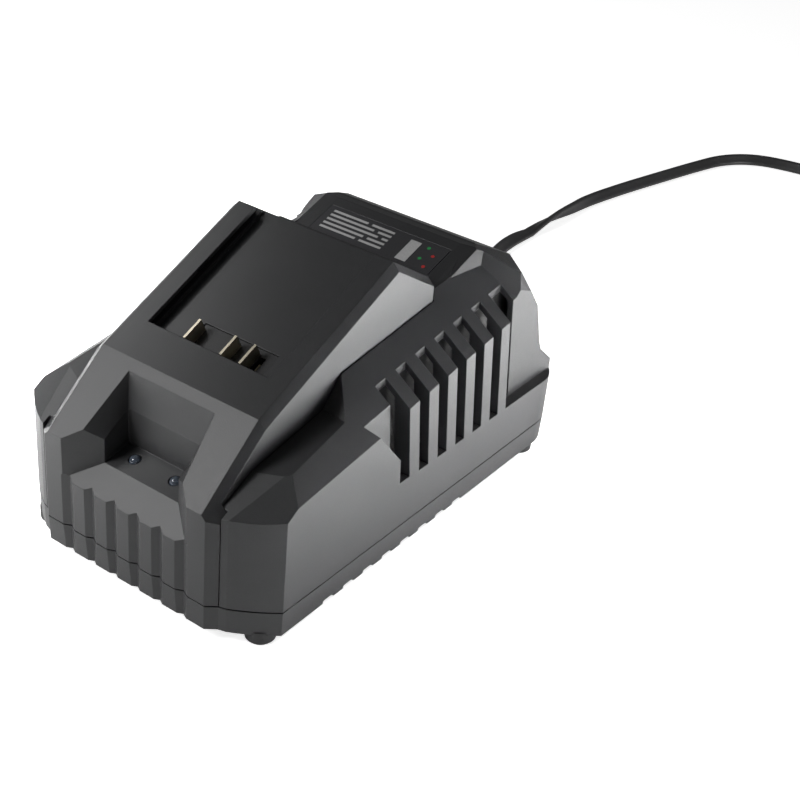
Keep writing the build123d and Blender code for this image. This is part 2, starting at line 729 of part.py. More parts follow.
def bay_cut():
    """The indicator bay between the two legs of the dock."""
    middle = side_prism(
        [
            (-6, ledge_z(-6)),
            (BAY_FRONT_Y, PANEL_FRONT_Z),
            (BAY_BACK_Y, PANEL_BACK_Z),
            (BAY_BACK_Y, BAY_KINK_BACK_Z),
            (BAY_TOP_Y, slope_z(BAY_TOP_Y)),
            (BAY_TOP_Y, SKY),
            (-6, SKY),
        ],
        -BAY_HALF_WIDTH,
        BAY_HALF_WIDTH,
    )
    flare_run = (BAY_MOUTH_X - BAY_HALF_WIDTH) / BAY_FRONT_Y
    mouth = plan_prism(
        [
            (BAY_HALF_WIDTH - 2, BAY_FRONT_Y),
            (BAY_HALF_WIDTH, BAY_FRONT_Y),
            (BAY_MOUTH_X + 6 * flare_run, -6),
            (BAY_HALF_WIDTH - 2, -6),
        ],
        0,
        SKY,
    )
    under_ledge = side_prism([(-8, ledge_z(-8)), (30, ledge_z(30)), (30, -10), (-8, -10)], -BIG, BIG)
    mouth -= under_ledge
    return middle + mirrored(mouth) + mirrored(leg_cut(flare_run))


def leg_cut(flare_run):
    """The leaning inner face of the right-hand leg, as a solid over the kink line."""
    knee_y = BAY_FRONT_Y - (23.3 - BAY_HALF_WIDTH) / flare_run
    top = Vector(BAY_TOP_HALF_WIDTH, BAY_TOP_Y, slope_z(BAY_TOP_Y))
    knee = Vector(23.3, knee_y, slope_z(knee_y))
    kink_back = Vector(BAY_HALF_WIDTH, BAY_BACK_Y, BAY_KINK_BACK_Z)
    kink_front = Vector(BAY_HALF_WIDTH, BAY_FRONT_Y, BAY_KINK_FRONT_Z)
    high = [Vector(p.X, p.Y, SKY) for p in (top, knee)]
    inner_back = Vector(BAY_HALF_WIDTH, BAY_TOP_Y, slope_z(BAY_TOP_Y))
    inner_high = [Vector(BAY_HALF_WIDTH, y, SKY) for y in (BAY_TOP_Y, BAY_FRONT_Y)]
    polygons = [
        [top, knee, high[1], high[0]],
        [knee, kink_front, inner_high[1], high[1]],
        [kink_front, kink_back, inner_back, inner_high[0], inner_high[1]],
        [kink_back, top, inner_back],
        [inner_back, top, high[0], inner_high[0]],
        [high[0], high[1], inner_high[1], inner_high[0]],
    ]
    faces = [make_face(Polyline(polygon, close=True)).faces()[0] for polygon in polygons]
    lean = Face.make_surface_from_curves(Edge.make_line(top, kink_back), Edge.make_line(knee, kink_front))
    return Solid(Shell(faces + [lean]))


def rib_grooves(z_from, z_to):
    """V grooves between the ribs and beside the pillars."""
    valleys = [RIB_PITCH * (index + 0.5) for index in range(RIB_COUNT // 2)]
    half = RIB_PITCH / 2 - RIB_HALF_WIDTH
    outer_rib = RIB_PITCH * (RIB_COUNT // 2) + RIB_HALF_WIDTH
    grooves = Part()
    for valley in valleys:
        points = [(valley - half, 0), (valley, GROOVE_DEPTH), (valley + half, 0), (valley, -GROOVE_DEPTH)]
        grooves += plan_prism(points, z_from, z_to)
    middle = (outer_rib + PILLAR_IN_X) / 2
    points = [(outer_rib, 0), (middle, GROOVE_DEPTH), (PILLAR_IN_X, 0), (middle, -GROOVE_DEPTH)]
    grooves += plan_prism(points, z_from, z_to)
    return both_sides(grooves)


def channel_cut():
    """The battery channel in the roof, with an undercut groove under each rail lip."""
    low = (Align.CENTER, Align.MIN, Align.MIN)
    reach = 120.0
    half = CHANNEL_HALF_WIDTH
    channel = Pos(0, CHANNEL_START, -CHANNEL_DEPTH) * Box(half * 2, reach, 40, align=low)
    under = RAIL_LIP + RAIL_GROOVE
    wide = (half + RAIL_UNDERCUT) * 2
    channel += Pos(0, CHANNEL_START, -under) * Box(wide, reach, RAIL_GROOVE, align=low)
    notch = Box(half + RAIL_NOTCH_DEPTH, RAIL_NOTCH_LENGTH, RAIL_LIP, align=(Align.MAX, Align.MIN, Align.MIN))
    channel += Pos(0, RAIL_NOTCH_AT, -RAIL_LIP - RAIL_SKIN) * notch
    return rail_frame() * channel


def window_box(depth_from, depth_to, grow=0.0):
    """A box over the terminal window, between two depths below the roof."""
    size = (WINDOW_RIGHT - WINDOW_LEFT + grow * 2, WINDOW_LENGTH + grow * 2, depth_to - depth_from)
    box = Box(*size, align=(Align.MIN, Align.MIN, Align.MAX))
    return rail_frame() * Pos(WINDOW_LEFT - grow, CHANNEL_START - grow, -depth_from) * box


def dock_skirt_cut():
    """The space under the dock's side walls, which end just below the shoulder."""
    gap = SKIRT_DEPTH
    points = [
        (CORNER_Y + WALL, SEAM_Z - 5),
        (CORNER_Y + WALL, SLOPE_FOOT_Z - gap),
        (SHELF_Y, SHELF_Z - gap),
        (SHELF_END_Y, shelf_z(DOCK_HALF_WIDTH, SHELF_END_Y) - gap),
        (SHELF_END_Y + 9, shoulder_z(DOCK_HALF_WIDTH, SHELF_END_Y + 9) - gap),
        (DOCK_END_Y + 1, shoulder_z(DOCK_HALF_WIDTH, DOCK_END_Y) - gap),
        (DOCK_END_Y + 1, SEAM_Z - 5),
    ]
    inner_x = DOCK_HALF_WIDTH - WALL
    behind_bay = block(-BIG, BIG, BAY_BACK_Y + WALL, BIG, -BIG, BIG)
    beside_bay = block(inner_x, BIG, -BIG, BIG, -BIG, BIG)
    return side_prism(points, -BIG, BIG) & (behind_bay + mirrored(beside_bay))


def panel_under_z(y):
    """Height of the underside of the indicator panel."""
    rise = (PANEL_BACK_Z - PANEL_FRONT_Z) / (BAY_BACK_Y - BAY_FRONT_Y)
    return PANEL_FRONT_Z + rise * (y - BAY_FRONT_Y) - PANEL_WALL * math.hypot(1, rise)


def dock_cavity():
    """The hollow inside of the dock cover."""
    channel_skin = (CHANNEL_DEPTH + WALL) / math.cos(math.atan2(ROOF_REAR_Z - FOLD_Z, ROOF_REAR_Y - FOLD_Y))
    start_y = BAY_BACK_Y + WALL
    inner_x = DOCK_HALF_WIDTH - WALL
    roof_rise = (ROOF_REAR_Z - FOLD_Z) / (ROOF_REAR_Y - FOLD_Y)
    main = side_prism(
        [
            (start_y, SEAM_Z - 5),
            (start_y, BAY_KINK_BACK_Z),
            (BAY_TOP_Y + WALL, FOLD_Z - channel_skin - 1),
            (FOLD_Y, FOLD_Z - channel_skin),
            (ROOF_REAR_Y, ROOF_REAR_Z - channel_skin),
            (ROOF_REAR_Y + 9, ROOF_REAR_Z - channel_skin - 2),
            (TAIL_Y - WALL, TAIL_TOP_Z - WALL),
            (DOCK_END_Y - WALL, TAIL_TOP_Z - WALL * 1.5),
            (DOCK_END_Y - WALL, SEAM_Z - 5),
        ],
        -inner_x,
        inner_x,
    )
    low_front = side_prism(
        [
            (WALL + GROOVE_DEPTH, SEAM_Z - 5),
            (WALL + GROOVE_DEPTH, ledge_z(0) - 2),
            (BAY_FRONT_Y, panel_under_z(BAY_FRONT_Y)),
            (start_y + 1, panel_under_z(start_y + 1)),
            (start_y + 1, SEAM_Z - 5),
        ],
        -inner_x + 1,
        inner_x - 1,
    )
    leg_front = BAY_FRONT_Y - 1
    leg_in = BAY_TOP_HALF_WIDTH + WALL * 2.2
    leg = side_prism(
        [
            (leg_front, SEAM_Z - 5),
            (leg_front, slope_z(leg_front) - WALL * 1.3),
            (start_y + 1, slope_z(start_y) - WALL * 1.3),
            (start_y + 1, SEAM_Z - 5),
        ],
        leg_in,
        inner_x,
    )
    rail_pocket = side_prism(
        [
            (CHANNEL_START + FOLD_Y, SEAM_Z + 30),
            (CHANNEL_START + FOLD_Y, FOLD_Z + roof_rise * CHANNEL_START - channel_skin),
            (ROOF_REAR_Y, ROOF_REAR_Z - channel_skin),
            (ROOF_REAR_Y, SEAM_Z + 30),
        ],
        -inner_x,
        inner_x,
    )
    return main + low_front + mirrored(leg) + rail_pocket


def dock_bosses():
    """Screw bosses inside the legs of the dock."""
    boss = post(DOCK_BOSS_X, DOCK_BOSS_Y, SEAM_Z, slope_z(DOCK_BOSS_Y) - 1, BOSS_DIAMETER)
    return both_sides(boss)


def terminal_screw_xs():
    """Where the terminal block's two screws sit, either side of the window."""
    reach = TERMINAL_FLANGE - TERMINAL_SCREW_INSET
    return [WINDOW_LEFT - reach, WINDOW_RIGHT + reach]


def terminal_middle():
    """Middle of the terminal window, measured up the roof from the fold."""
    return CHANNEL_START + WINDOW_LENGTH / 2


def slope_edge():
    """Everything over the chamfer along the right-hand edge of the front slope."""
    inner = DOCK_HALF_WIDTH - DOCK_CHAMFER
    high = (inner, FOLD_Y, FOLD_Z)
    return above((inner, 0, SLOPE_FOOT_Z), high, (DOCK_HALF_WIDTH, FOLD_Y, FOLD_Z - DOCK_CHAMFER))


def make_dock_cover():
    """Front and roof moulding: legs, ribs, indicator bay, rails and battery channel."""
    body = side_prism(dock_profile(), -DOCK_HALF_WIDTH, DOCK_HALF_WIDTH)
    chamfer = DOCK_CHAMFER
    for p, q, face_rise in [
        ((0, SLOPE_FOOT_Z), (FOLD_Y, FOLD_Z), chamfer),
        ((FOLD_Y, FOLD_Z), (ROOF_REAR_Y, ROOF_REAR_Z), chamfer),
        ((ROOF_REAR_Y, ROOF_REAR_Z), (TAIL_Y, TAIL_TOP_Z), chamfer),
    ]:
        inner = DOCK_HALF_WIDTH - chamfer
        edge = above(
            (inner, p[0], p[1]),
            (inner, q[0], q[1]),
            (DOCK_HALF_WIDTH, q[0], q[1] - face_rise),
        )
        body -= mirrored(edge)
    bib = [
        (PILLAR_OUT_X, 0),
        (BIB_X, BIB_DEPTH),
        (BIB_X, CORNER_Y + WALL),
        (-BIB_X, CORNER_Y + WALL),
        (-BIB_X, BIB_DEPTH),
        (-PILLAR_OUT_X, 0),
    ]
    low = plan_prism(bib, SEAM_Z, BIB_TOP_Z)
    slope = above((0, 0, SLOPE_FOOT_Z), (10, 0, SLOPE_FOOT_Z), (0, FOLD_Y, FOLD_Z))
    low = low - slope - mirrored(slope_edge())
    nose = plan_prism(bib[:2] + [(BIB_X, BIG), (-BIB_X, BIG)] + bib[4:], -10, SKY)
    body = (body & nose) + low
    outer = body
    body -= dock_cavity() & side_prism(dock_profile(0.0), -BIG, BIG)
    body -= dock_skirt_cut()
    body += dock_bosses() & outer
    body -= bay_cut()
    body -= rib_grooves(SEAM_Z - 1, ledge_z(0) + 1.5)
    body -= channel_cut()
    body -= window_box(0, CHANNEL_DEPTH + WALL + 4)
    for x in (-LED_X, LED_X):
        body -= panel_frame() * Pos(x, 0, 0) * Cylinder(LED_HOLE / 2, PANEL_WALL * 4)
    for x in terminal_screw_xs():
        hole_d = TERMINAL_SCREW_D + SCREW_CLEARANCE
        body -= roof_post(x, -UNDER_CHANNEL - 1, TERMINAL_SCREW_BITE + 1.1, hole_d)
    body += led_posts()
    hole = post(DOCK_BOSS_X, DOCK_BOSS_Y, SEAM_Z - 1, SEAM_Z + SCREW_BITE, SCREW_DIAMETER + SCREW_CLEARANCE)
    return body - mirrored(hole)


def led_posts():
    """Two posts under the indicator panel that carry the indicator board."""
    posts = Part()
    for x in (-LED_POST_X, LED_POST_X):
        depth = PANEL_WALL + LED_FLANGE_HEIGHT + LED_LEG
        posts += panel_post(x, -depth, depth - PANEL_WALL / 2, LED_POST_DIAMETER)
    return posts


# ---------------------------------------------------------------- lower housing
def boss_places():
    """Middles of the right-hand screw bosses: two of the upper housing, one of the dock cover."""
    return [(BOSS_X, BOSS_FRONT_Y), (BOSS_REAR_X, BOSS_REAR_Y), (DOCK_BOSS_X, DOCK_BOSS_Y)]


def foot_places():
    """Middles of the right-hand feet."""
    return [(FOOT_X, FOOT_FRONT_Y), (FOOT_REAR_X, FOOT_REAR_Y)]


def board_hole_places():
    """The four fixing holes of the power board."""
    half_x = BOARD_SIZE[0] / 2 - STANDOFF_INSET
    ys = (BOARD_FRONT_Y + STANDOFF_INSET, BOARD_FRONT_Y + BOARD_SIZE[1] - STANDOFF_INSET)
    return [(x, y) for x in (-half_x, half_x) for y in ys]


def keyhole(y):
    """A wall-hanging keyhole through the floor, its slot pointing to the rear."""
    head = post(0, y, 0, FLOOR_TOP + 1, KEYHOLE_HEAD)
    slot = block(-KEYHOLE_SLOT / 2, KEYHOLE_SLOT / 2, y, y + KEYHOLE_TRAVEL, 0, FLOOR_TOP + 1)
    return head + slot + post(0, y + KEYHOLE_TRAVEL, 0, FLOOR_TOP + 1, KEYHOLE_SLOT)


def clamp_block(z_from, z_to):
    """A bar across the inner end of the boot."""
    y_to = LENGTH - WALL - BOOT_FLANGE_LENGTH
    half = CLAMP_HALF_LENGTH
    return block(EXIT_X - half, EXIT_X + half, y_to - CLAMP_WIDTH, y_to, z_from, z_to)


def boot_stub(diameter):
    """The inner end of the boot, as a bar along Y."""
    return Pos(EXIT_X, LENGTH, EXIT_Z) * Rot(90, 0, 0) * Cylinder(diameter / 2, LENGTH / 2)


def clamp_screw_places():
    """Middles of the two clamp screws."""
    y = LENGTH - WALL - BOOT_FLANGE_LENGTH - CLAMP_WIDTH / 2
    return [(EXIT_X - CLAMP_SCREW_SPACING / 2, y), (EXIT_X + CLAMP_SCREW_SPACING / 2, y)]


def make_lower_housing():
    """Base tray with bosses, board stand-offs, vents, notches, keyholes and foot seats."""
    height = SEAM_Z - FOOT_HEIGHT
    outer = extrude(Pos(0, 0, SEAM_Z) * plan_outline(), amount=height, dir=(0, 0, -1), taper=BASE_DRAFT)
    tray = outer - Pos(0, 0, FLOOR_TOP) * extrude(plan_outline(WALL), amount=height)
    for x, y in boss_places():
        tray += mirrored(post(x, y, FOOT_HEIGHT, SEAM_Z, BOSS_DIAMETER + 2))
    for x, y in board_hole_places():
        tray += post(x, y, FOOT_HEIGHT, BOARD_Z, STANDOFF_DIAMETER)
        tray -= post(x, y, BOARD_TOP - BOARD_SCREW_LENGTH - 1, BOARD_Z + 1, BOARD_SCREW_D + SCREW_CLEARANCE)
    tray += clamp_block(FOOT_HEIGHT, EXIT_Z) - boot_stub(BOOT_STUB)
    for x, y in clamp_screw_places():
        tray -= post(x, y, EXIT_Z - BOARD_SCREW_LENGTH, EXIT_Z + 1, BOARD_SCREW_D + SCREW_CLEARANCE)
    for x, y in boss_places():
        tray -= mirrored(post(x, y, 0, COUNTERBORE_TOP, COUNTERBORE))
        tray -= mirrored(post(x, y, 0, SEAM_Z + 1, SCREW_DIAMETER + SCREW_CLEARANCE * 3))
    for x, y in foot_places():
        tray -= mirrored(post(x, y, 0, FOOT_HEIGHT + FOOT_SEAT, FOOT_DIAMETER + SCREW_CLEARANCE))
    for y in (LENGTH / 2 - KEYHOLE_SPACING / 2, LENGTH / 2 + KEYHOLE_SPACING / 2):
        tray -= keyhole(y)
    for index in range(VENT_COUNT):
        y = VENT_Y + VENT_PITCH * (index - (VENT_COUNT - 1) / 2)
        tray -= mirrored(Pos(VENT_X, y, FOOT_HEIGHT) * Box(VENT_LENGTH, VENT_WIDTH, WALL * 3))
    for index in range(NOTCH_COUNT):
        y = NOTCH_FIRST_Y + NOTCH_PITCH * index
        ends = (y - NOTCH_LENGTH / 2, y + NOTCH_LENGTH / 2)
        tray -= mirrored(block(SIDE_X - NOTCH_REACH, SIDE_X + 1, *ends, 0, FOOT_HEIGHT + NOTCH_HEIGHT))
    tray -= rib_grooves(0, SEAM_Z + 1)
    return tray - seam_groove()


def seam_groove():
    """The fine parting groove around the top edge of the base."""
    depth = SEAM_GROOVE
    ring = Pos(0, 0, SEAM_Z - depth) * extrude(plan_outline(-1), amount=depth * 2)
    core = Pos(0, 0, SEAM_Z - depth * 2) * extrude(plan_outline(depth), amount=depth * 4)
    return ring - (core - Pos(0, depth, 0) * rib_grooves(0, SEAM_Z * 2))


def make_feet():
    """Four round rubber feet, seated in the floor."""
    feet = []
    for x, y in foot_places():
        foot = post(x, y, -FOOT_DROP, FOOT_HEIGHT + FOOT_SEAT, FOOT_DIAMETER)
        foot = chamfer(foot.edges().sort_by(Axis.Z)[0], 0.8)
        feet += mirrored(foot)
    return feet


def headed_screw(x, y, z_seat, head, head_height, shank, length, upward):
    """A screw whose head sits against z_seat, its shank pointing up or down."""
    if upward:
        return post(x, y, z_seat - head_height, z_seat, head) + post(x, y, z_seat, z_seat + length, shank)
    return post(x, y, z_seat, z_seat + head_height, head) + post(x, y, z_seat - length, z_seat, shank)


def make_housing_screws(places):
    """Long screws from under the base into the bosses above."""
    length = SEAM_Z - COUNTERBORE_TOP + SCREW_BITE - 1
    screws = []
    for x, y in places:
        args = (COUNTERBORE_TOP, SCREW_HEAD, SCREW_HEAD_HEIGHT, SCREW_DIAMETER, length, True)
        screws += mirrored(headed_screw(x, y, *args))
    return screws


def small_screw(x, y, z_seat):
    """A short screw, head up."""
    args = (BOARD_SCREW_HEAD, BOARD_SCREW_HEAD_HEIGHT, BOARD_SCREW_D, BOARD_SCREW_LENGTH - 0.5, False)
    return headed_screw(x, y, z_seat, *args)


# ---------------------------------------------------------------- terminals
def terminal_size():
    """Left, right, front and rear of the terminal block's body, in the roof's plane."""
    wall = POCKET_WALL
    return WINDOW_LEFT - wall, WINDOW_RIGHT + wall, CHANNEL_START - wall, CHANNEL_START + WINDOW_LENGTH + wall


def roof_box(x_from, x_to, s_from, s_to, w_from, w_to):
    """A box in the roof's plane: across, up the slope, and out of the roof."""
    return rail_frame() * block(x_from, x_to, s_from, s_to, w_from, w_to)


def blade(x):
    """One flat contact blade, standing in its pocket."""
    half = BLADE_THICKNESS / 2
    start = CHANNEL_START + BLADE_START
    foot = -UNDER_CHANNEL - TERMINAL_HEIGHT - BLADE_TAIL
    return roof_box(x - half, x + half, start, start + BLADE_LENGTH, foot, -0.3)


def signal_spring():
    """The narrow spring contact in the fourth pocket."""
    start = CHANNEL_START + BLADE_START + (BLADE_LENGTH - SPRING_WIDTH) / 2
    foot = -UNDER_CHANNEL - TERMINAL_HEIGHT - BLADE_TAIL
    top = -CHANNEL_DEPTH - 1
    return roof_box(SPRING_X, SPRING_X + SPRING_THICKNESS, start, start + SPRING_WIDTH, foot, top)


def make_terminal_block():
    """Moulded block that fills the window round the blades, with a pocket for the signal contact."""
    left, right, front, rear = terminal_size()
    top = -UNDER_CHANNEL
    flange_left = WINDOW_LEFT - TERMINAL_FLANGE
    flange_right = WINDOW_RIGHT + TERMINAL_FLANGE
    flange_low = top - TERMINAL_FLANGE_HEIGHT
    margin = TERMINAL_MARGIN
    moulding = roof_box(flange_left, flange_right, front - margin, rear + margin, flange_low, top)
    moulding += roof_box(left, right, front, rear, top - TERMINAL_HEIGHT, top)
    moulding += window_box(CHANNEL_DEPTH + BLOCK_SINK, UNDER_CHANNEL, -BLOCK_GAP)
    pocket_front = CHANNEL_START + BLADE_START + BLOCK_GAP
    pocket_low = -CHANNEL_DEPTH - POCKET_DEPTH
    pocket_ends = (pocket_front, pocket_front + POCKET_LENGTH)
    moulding -= roof_box(POCKET_LEFT, POCKET_RIGHT, *pocket_ends, pocket_low, 0)
    for x in BLADE_X.values():
        moulding -= blade(x)
    moulding -= signal_spring()
    for x in terminal_screw_xs():
        moulding -= roof_post(x, top - 6, 8, TERMINAL_SCREW_D + SCREW_CLEARANCE)
    return moulding


def make_terminal_screws():
    """Two screws from under the terminal block into the dock cover."""
    low = -UNDER_CHANNEL - TERMINAL_FLANGE_HEIGHT
    length = TERMINAL_FLANGE_HEIGHT + TERMINAL_SCREW_BITE - 0.2
    screws = []
    for x in terminal_screw_xs():
        head = roof_post(x, low - 1.4, 1.4, TERMINAL_SCREW_HEAD)
        screws.append(head + roof_post(x, low, length, TERMINAL_SCREW_D))
    return screws


# ---------------------------------------------------------------- indicators
def make_led(x):
    """A round indicator with a flange and a domed tip."""
    flange_low = -PANEL_WALL - LED_FLANGE_HEIGHT
    led = panel_post(x, flange_low, LED_FLANGE_HEIGHT, LED_FLANGE)
    led += panel_post(x, flange_low, LED_RISE - flange_low, LED_DIAMETER)
    dome = Sphere(LED_DIAMETER / 2) & Pos(0, 0, -0.1) * Box(9, 9, 9, align=LOW)
    return led + panel_frame() * Pos(x, 0, LED_RISE) * dome


def make_led_legs():
    """Two thin legs under each indicator."""
    depth = PANEL_WALL + LED_FLANGE_HEIGHT + LED_LEG
    legs = []
    for x in (-LED_X, LED_X):
        for side in (-LED_LEG_SPACING / 2, LED_LEG_SPACING / 2):
            leg = Box(LED_LEG_WIDTH, LED_LEG_WIDTH, LED_LEG, align=LOW)
            legs.append(panel_frame() * Pos(x + side, 0, -depth) * leg)
    return legs


def make_led_board():
    """The indicator board, against the ends of its posts."""
    depth = PANEL_WALL + LED_FLANGE_HEIGHT + LED_LEG
    board = Box(*LED_BOARD_SIZE, align=(Align.CENTER, Align.CENTER, Align.MAX))
    return panel_frame() * Pos(0, 0, -depth) * board


# ---------------------------------------------------------------- power board
def make_main_board():
    """The power board on its four stand-offs."""
    board = Pos(0, BOARD_FRONT_Y + BOARD_SIZE[1] / 2, BOARD_Z) * Box(*BOARD_SIZE, align=LOW)
    for x, y in board_hole_places():
        board -= post(x, y, BOARD_Z - 1, BOARD_TOP + 1, BOARD_SCREW_D + SCREW_CLEARANCE * 2)
    return board


def make_transformer():
    """Ferrite core, bobbin and winding of the transformer."""
    bobbin = on_board(CORE_AT, BOBBIN_SIZE)
    seat = Pos(0, 0, BOBBIN_SIZE[2])
    core = seat * on_board(CORE_AT, CORE_SIZE)
    window_x = (CORE_LEG + CORE_WINDOW[0]) / 2
    middle_z = BOARD_TOP + BOBBIN_SIZE[2] + CORE_SIZE[2] / 2
    for side in (-window_x, window_x):
        opening = Box(CORE_WINDOW[0], CORE_SIZE[1] * 2, CORE_WINDOW[1])
        core -= Pos(CORE_AT[0] + side, CORE_AT[1], middle_z) * opening
    width = CORE_LEG + CORE_WINDOW[0] * 2 - 1
    winding = Pos(*CORE_AT, middle_z) * Box(width, WINDING_DEPTH, CORE_WINDOW[1] - 0.6)
    winding = fillet(winding.edges().filter_by(Axis.Z), 3)
    winding -= Pos(*CORE_AT, middle_z) * Box(CORE_LEG, CORE_SIZE[1], CORE_WINDOW[1] * 2)
    return {"transformer_core": core, "transformer_bobbin": bobbin, "transformer_winding": winding}


def make_choke():
    """Mains filter choke: a square core with a coil on each leg."""
    core = on_board(CHOKE_AT, CHOKE_SIZE)
    window = (CHOKE_SIZE[0] - CHOKE_LEG * 2, CHOKE_SIZE[1] * 2, CHOKE_SIZE[2] - CHOKE_LEG * 2)
    core -= Pos(0, 0, CHOKE_LEG) * on_board(CHOKE_AT, window)
    coils = []
    leg_x = (CHOKE_SIZE[0] - CHOKE_LEG) / 2
    for side in (-leg_x, leg_x):
        coil = Pos(side, 0, CHOKE_LEG + 0.4) * on_board(CHOKE_AT, CHOKE_COIL)
        coils.append(coil - core)
    return {"choke_core": core, "choke_coils": coils}


def can(x, y, diameter, height):
    """An electrolytic capacitor standing on the board."""
    shell = post(x, y, BOARD_TOP, BOARD_TOP + height, diameter)
    return fillet(shell.edges().sort_by(Axis.Z)[-1], 1.2)


def output_can(y):
    """One of the two output capacitors."""
    return can(OUTPUT_CAP_X, y, OUTPUT_CAP_DIAMETER, OUTPUT_CAP_HEIGHT)


def make_filter_capacitor():
    """Boxed mains filter capacitor."""
    return fillet(on_board(FILTER_CAP_AT, FILTER_CAP_SIZE).edges().filter_by(Axis.Z), 1.0)


def make_sink(place, inward):
    """A finned heat sink; its fins point away from the middle of the board."""
    plate = on_board(place, SINK_SIZE)
    for index in range(SINK_FIN_COUNT):
        y = place[1] + SINK_SIZE[1] * ((index + 0.5) / SINK_FIN_COUNT - 0.5)
        x = place[0] - inward * (SINK_SIZE[0] + SINK_FIN[0]) / 2
        plate += on_board((x, y), (SINK_FIN[0], SINK_FIN[1], SINK_SIZE[2]))
    return plate


def make_package(place, inward):
    """A power transistor clipped to the inner face of a heat sink."""
    x = place[0] + inward * (SINK_SIZE[0] + PACKAGE_SIZE[0]) / 2
    body = Pos(0, 0, PACKAGE_LIFT) * on_board((x, place[1]), PACKAGE_SIZE)
    for side in (-2.5, 0, 2.5):
        body += on_board((x, place[1] + side), (0.6, 0.9, PACKAGE_LIFT + 1))
    return body


def make_fuse():
    """Glass fuse and its two clips."""
    x, y = FUSE_AT
    z = BOARD_TOP + FUSE_LIFT + FUSE_DIAMETER / 2
    glass = Pos(x, y, z) * Rot(90, 0, 0) * Cylinder(FUSE_DIAMETER / 2, FUSE_LENGTH)
    clips = []
    reach = (FUSE_LENGTH - FUSE_CAP) / 2
    for side in (-reach, reach):
        clip = on_board((x, y + side), (FUSE_DIAMETER + 2, FUSE_CAP, FUSE_LIFT + FUSE_DIAMETER * 0.8))
        clips.append(clip - glass)
    return {"fuse": glass, "fuse_clips": clips}


def make_output_wires():
    """Three insulated wires from the board's socket up to the blades' tails."""
    socket_top = BOARD_TOP + SOCKET_SIZE[2]
    wires = []
    for index, x in enumerate(BLADE_X.values()):
        tail = rail_frame() * Pos(x, terminal_middle(), -UNDER_CHANNEL - TERMINAL_HEIGHT - BLADE_TAIL)
        end = tail.position
        start_x = SOCKET_AT[0] + (index - 1) * 8.0
        route = [
            (start_x, SOCKET_AT[1], socket_top),
            (start_x, SOCKET_AT[1], socket_top + 10),
            (x, end.Y + 3, end.Z - 8),
            (end.X, end.Y, end.Z),
        ]
        wires.append(tube(route, WIRE_DIAMETER, 3.0) - blade(x))
    return wires


def make_led_wires():
    """Two thin wires from the indicator board down to the power board."""
    depth = PANEL_WALL + LED_FLANGE_HEIGHT + LED_LEG + LED_BOARD_SIZE[2]
    top = BOARD_TOP + PLUG_IN_SIZE[2]
    wires = []
    for side in (-1.5, 1.5):
        start = (panel_frame() * Pos(side - 6, 0, -depth)).position
        x = PLUG_IN_AT[0] + side
        route = [
            (start.X, start.Y, start.Z),
            (start.X, start.Y + 2, start.Z - 7),
            (x, PLUG_IN_AT[1] - 6, top + 5),
            (x, PLUG_IN_AT[1], top + 4),
            (x, PLUG_IN_AT[1], top),
        ]
        wires.append(tube(route, SIGNAL_WIRE_DIAMETER, 1.8))
    return wires


def make_mains_wires():
    """Two insulated wires from the inner end of the boot to the inlet terminal."""
    y_from = LENGTH - WALL - BOOT_FLANGE_LENGTH - BOOT_INNER_LENGTH
    wires = []
    for side in (-1.7, 1.7):
        x_end = INLET_AT[0] + side * 2
        z_end = BOARD_TOP + INLET_SIZE[2] * 0.6
        route = [
            (EXIT_X + side, y_from, EXIT_Z),
            (EXIT_X + side, y_from - 4, EXIT_Z),
            (x_end, INLET_AT[1] + INLET_SIZE[1] / 2 + 5, z_end),
            (x_end, INLET_AT[1] + INLET_SIZE[1] / 2, z_end),
        ]
        wires.append(tube(route, WIRE_DIAMETER, 2.0))
    return wires


# ---------------------------------------------------------------- mains lead
def make_boot():
    """Tapered strain relief, held behind the rear wall by its flange."""
    inner_face = LENGTH - WALL
    flange_low = inner_face - BOOT_FLANGE_LENGTH

    def bar(y_from, y_to, diameter):
        turned = Rot(-90, 0, 0) * Cylinder(diameter / 2, y_to - y_from, align=LOW)
        return Pos(EXIT_X, y_from, EXIT_Z) * turned

    taper = Rot(-90, 0, 0) * Cone(BOOT_ROOT / 2, BOOT_TIP / 2, BOOT_LENGTH, align=LOW)
    boot = Pos(EXIT_X, LENGTH, EXIT_Z) * taper
    boot += bar(inner_face, LENGTH, BOOT_NECK - SCREW_CLEARANCE)
    boot += bar(flange_low, inner_face, BOOT_FLANGE)
    return boot + bar(flange_low - BOOT_INNER_LENGTH, flange_low, BOOT_STUB - SCREW_CLEARANCE)


def corner_radii(points):
    """One bend radius for each corner of a lead: as large as its two runs allow."""
    vectors = [Vector(*point) for point in points]
    radii = []
    for before, here, after in zip(vectors, vectors[1:], vectors[2:]):
        turn = math.radians((here - before).get_angle(after - here))
        shorter = min((here - before).length, (after - here).length)
        radii.append(0.45 * shorter / math.tan(turn / 2))
    return radii


def lead_tube(name, points):
    """A stretch of the flat lead along a route, lying on its flat side."""
    radii = corner_radii(points)
    path = FilletPolyline(*points, radius=radii)
    print(name, "length", round(path.length, 1), "radii", [round(radius, 1) for radius in radii])
    direction = path % 0
    start = Plane(origin=path @ 0, x_dir=direction.cross(Vector(0, 0, 1)), z_dir=direction)
    section = SlotOverall(CORD_WIDTH, CORD_THICKNESS)
    return sweep(start * section, path=path)


def coil_ring():
    """Outer shape of the wound lead."""
    half_width = CORD_WIDTH * COIL_TURNS_WIDE / 2
    height = CORD_THICKNESS * COIL_TURNS_HIGH
    ring = Cylinder(COIL_RADIUS + half_width, height, align=LOW)
    ring -= Cylinder(COIL_RADIUS - half_width, height * 3)
    return Pos(*COIL_CENTRE, 0) * ring


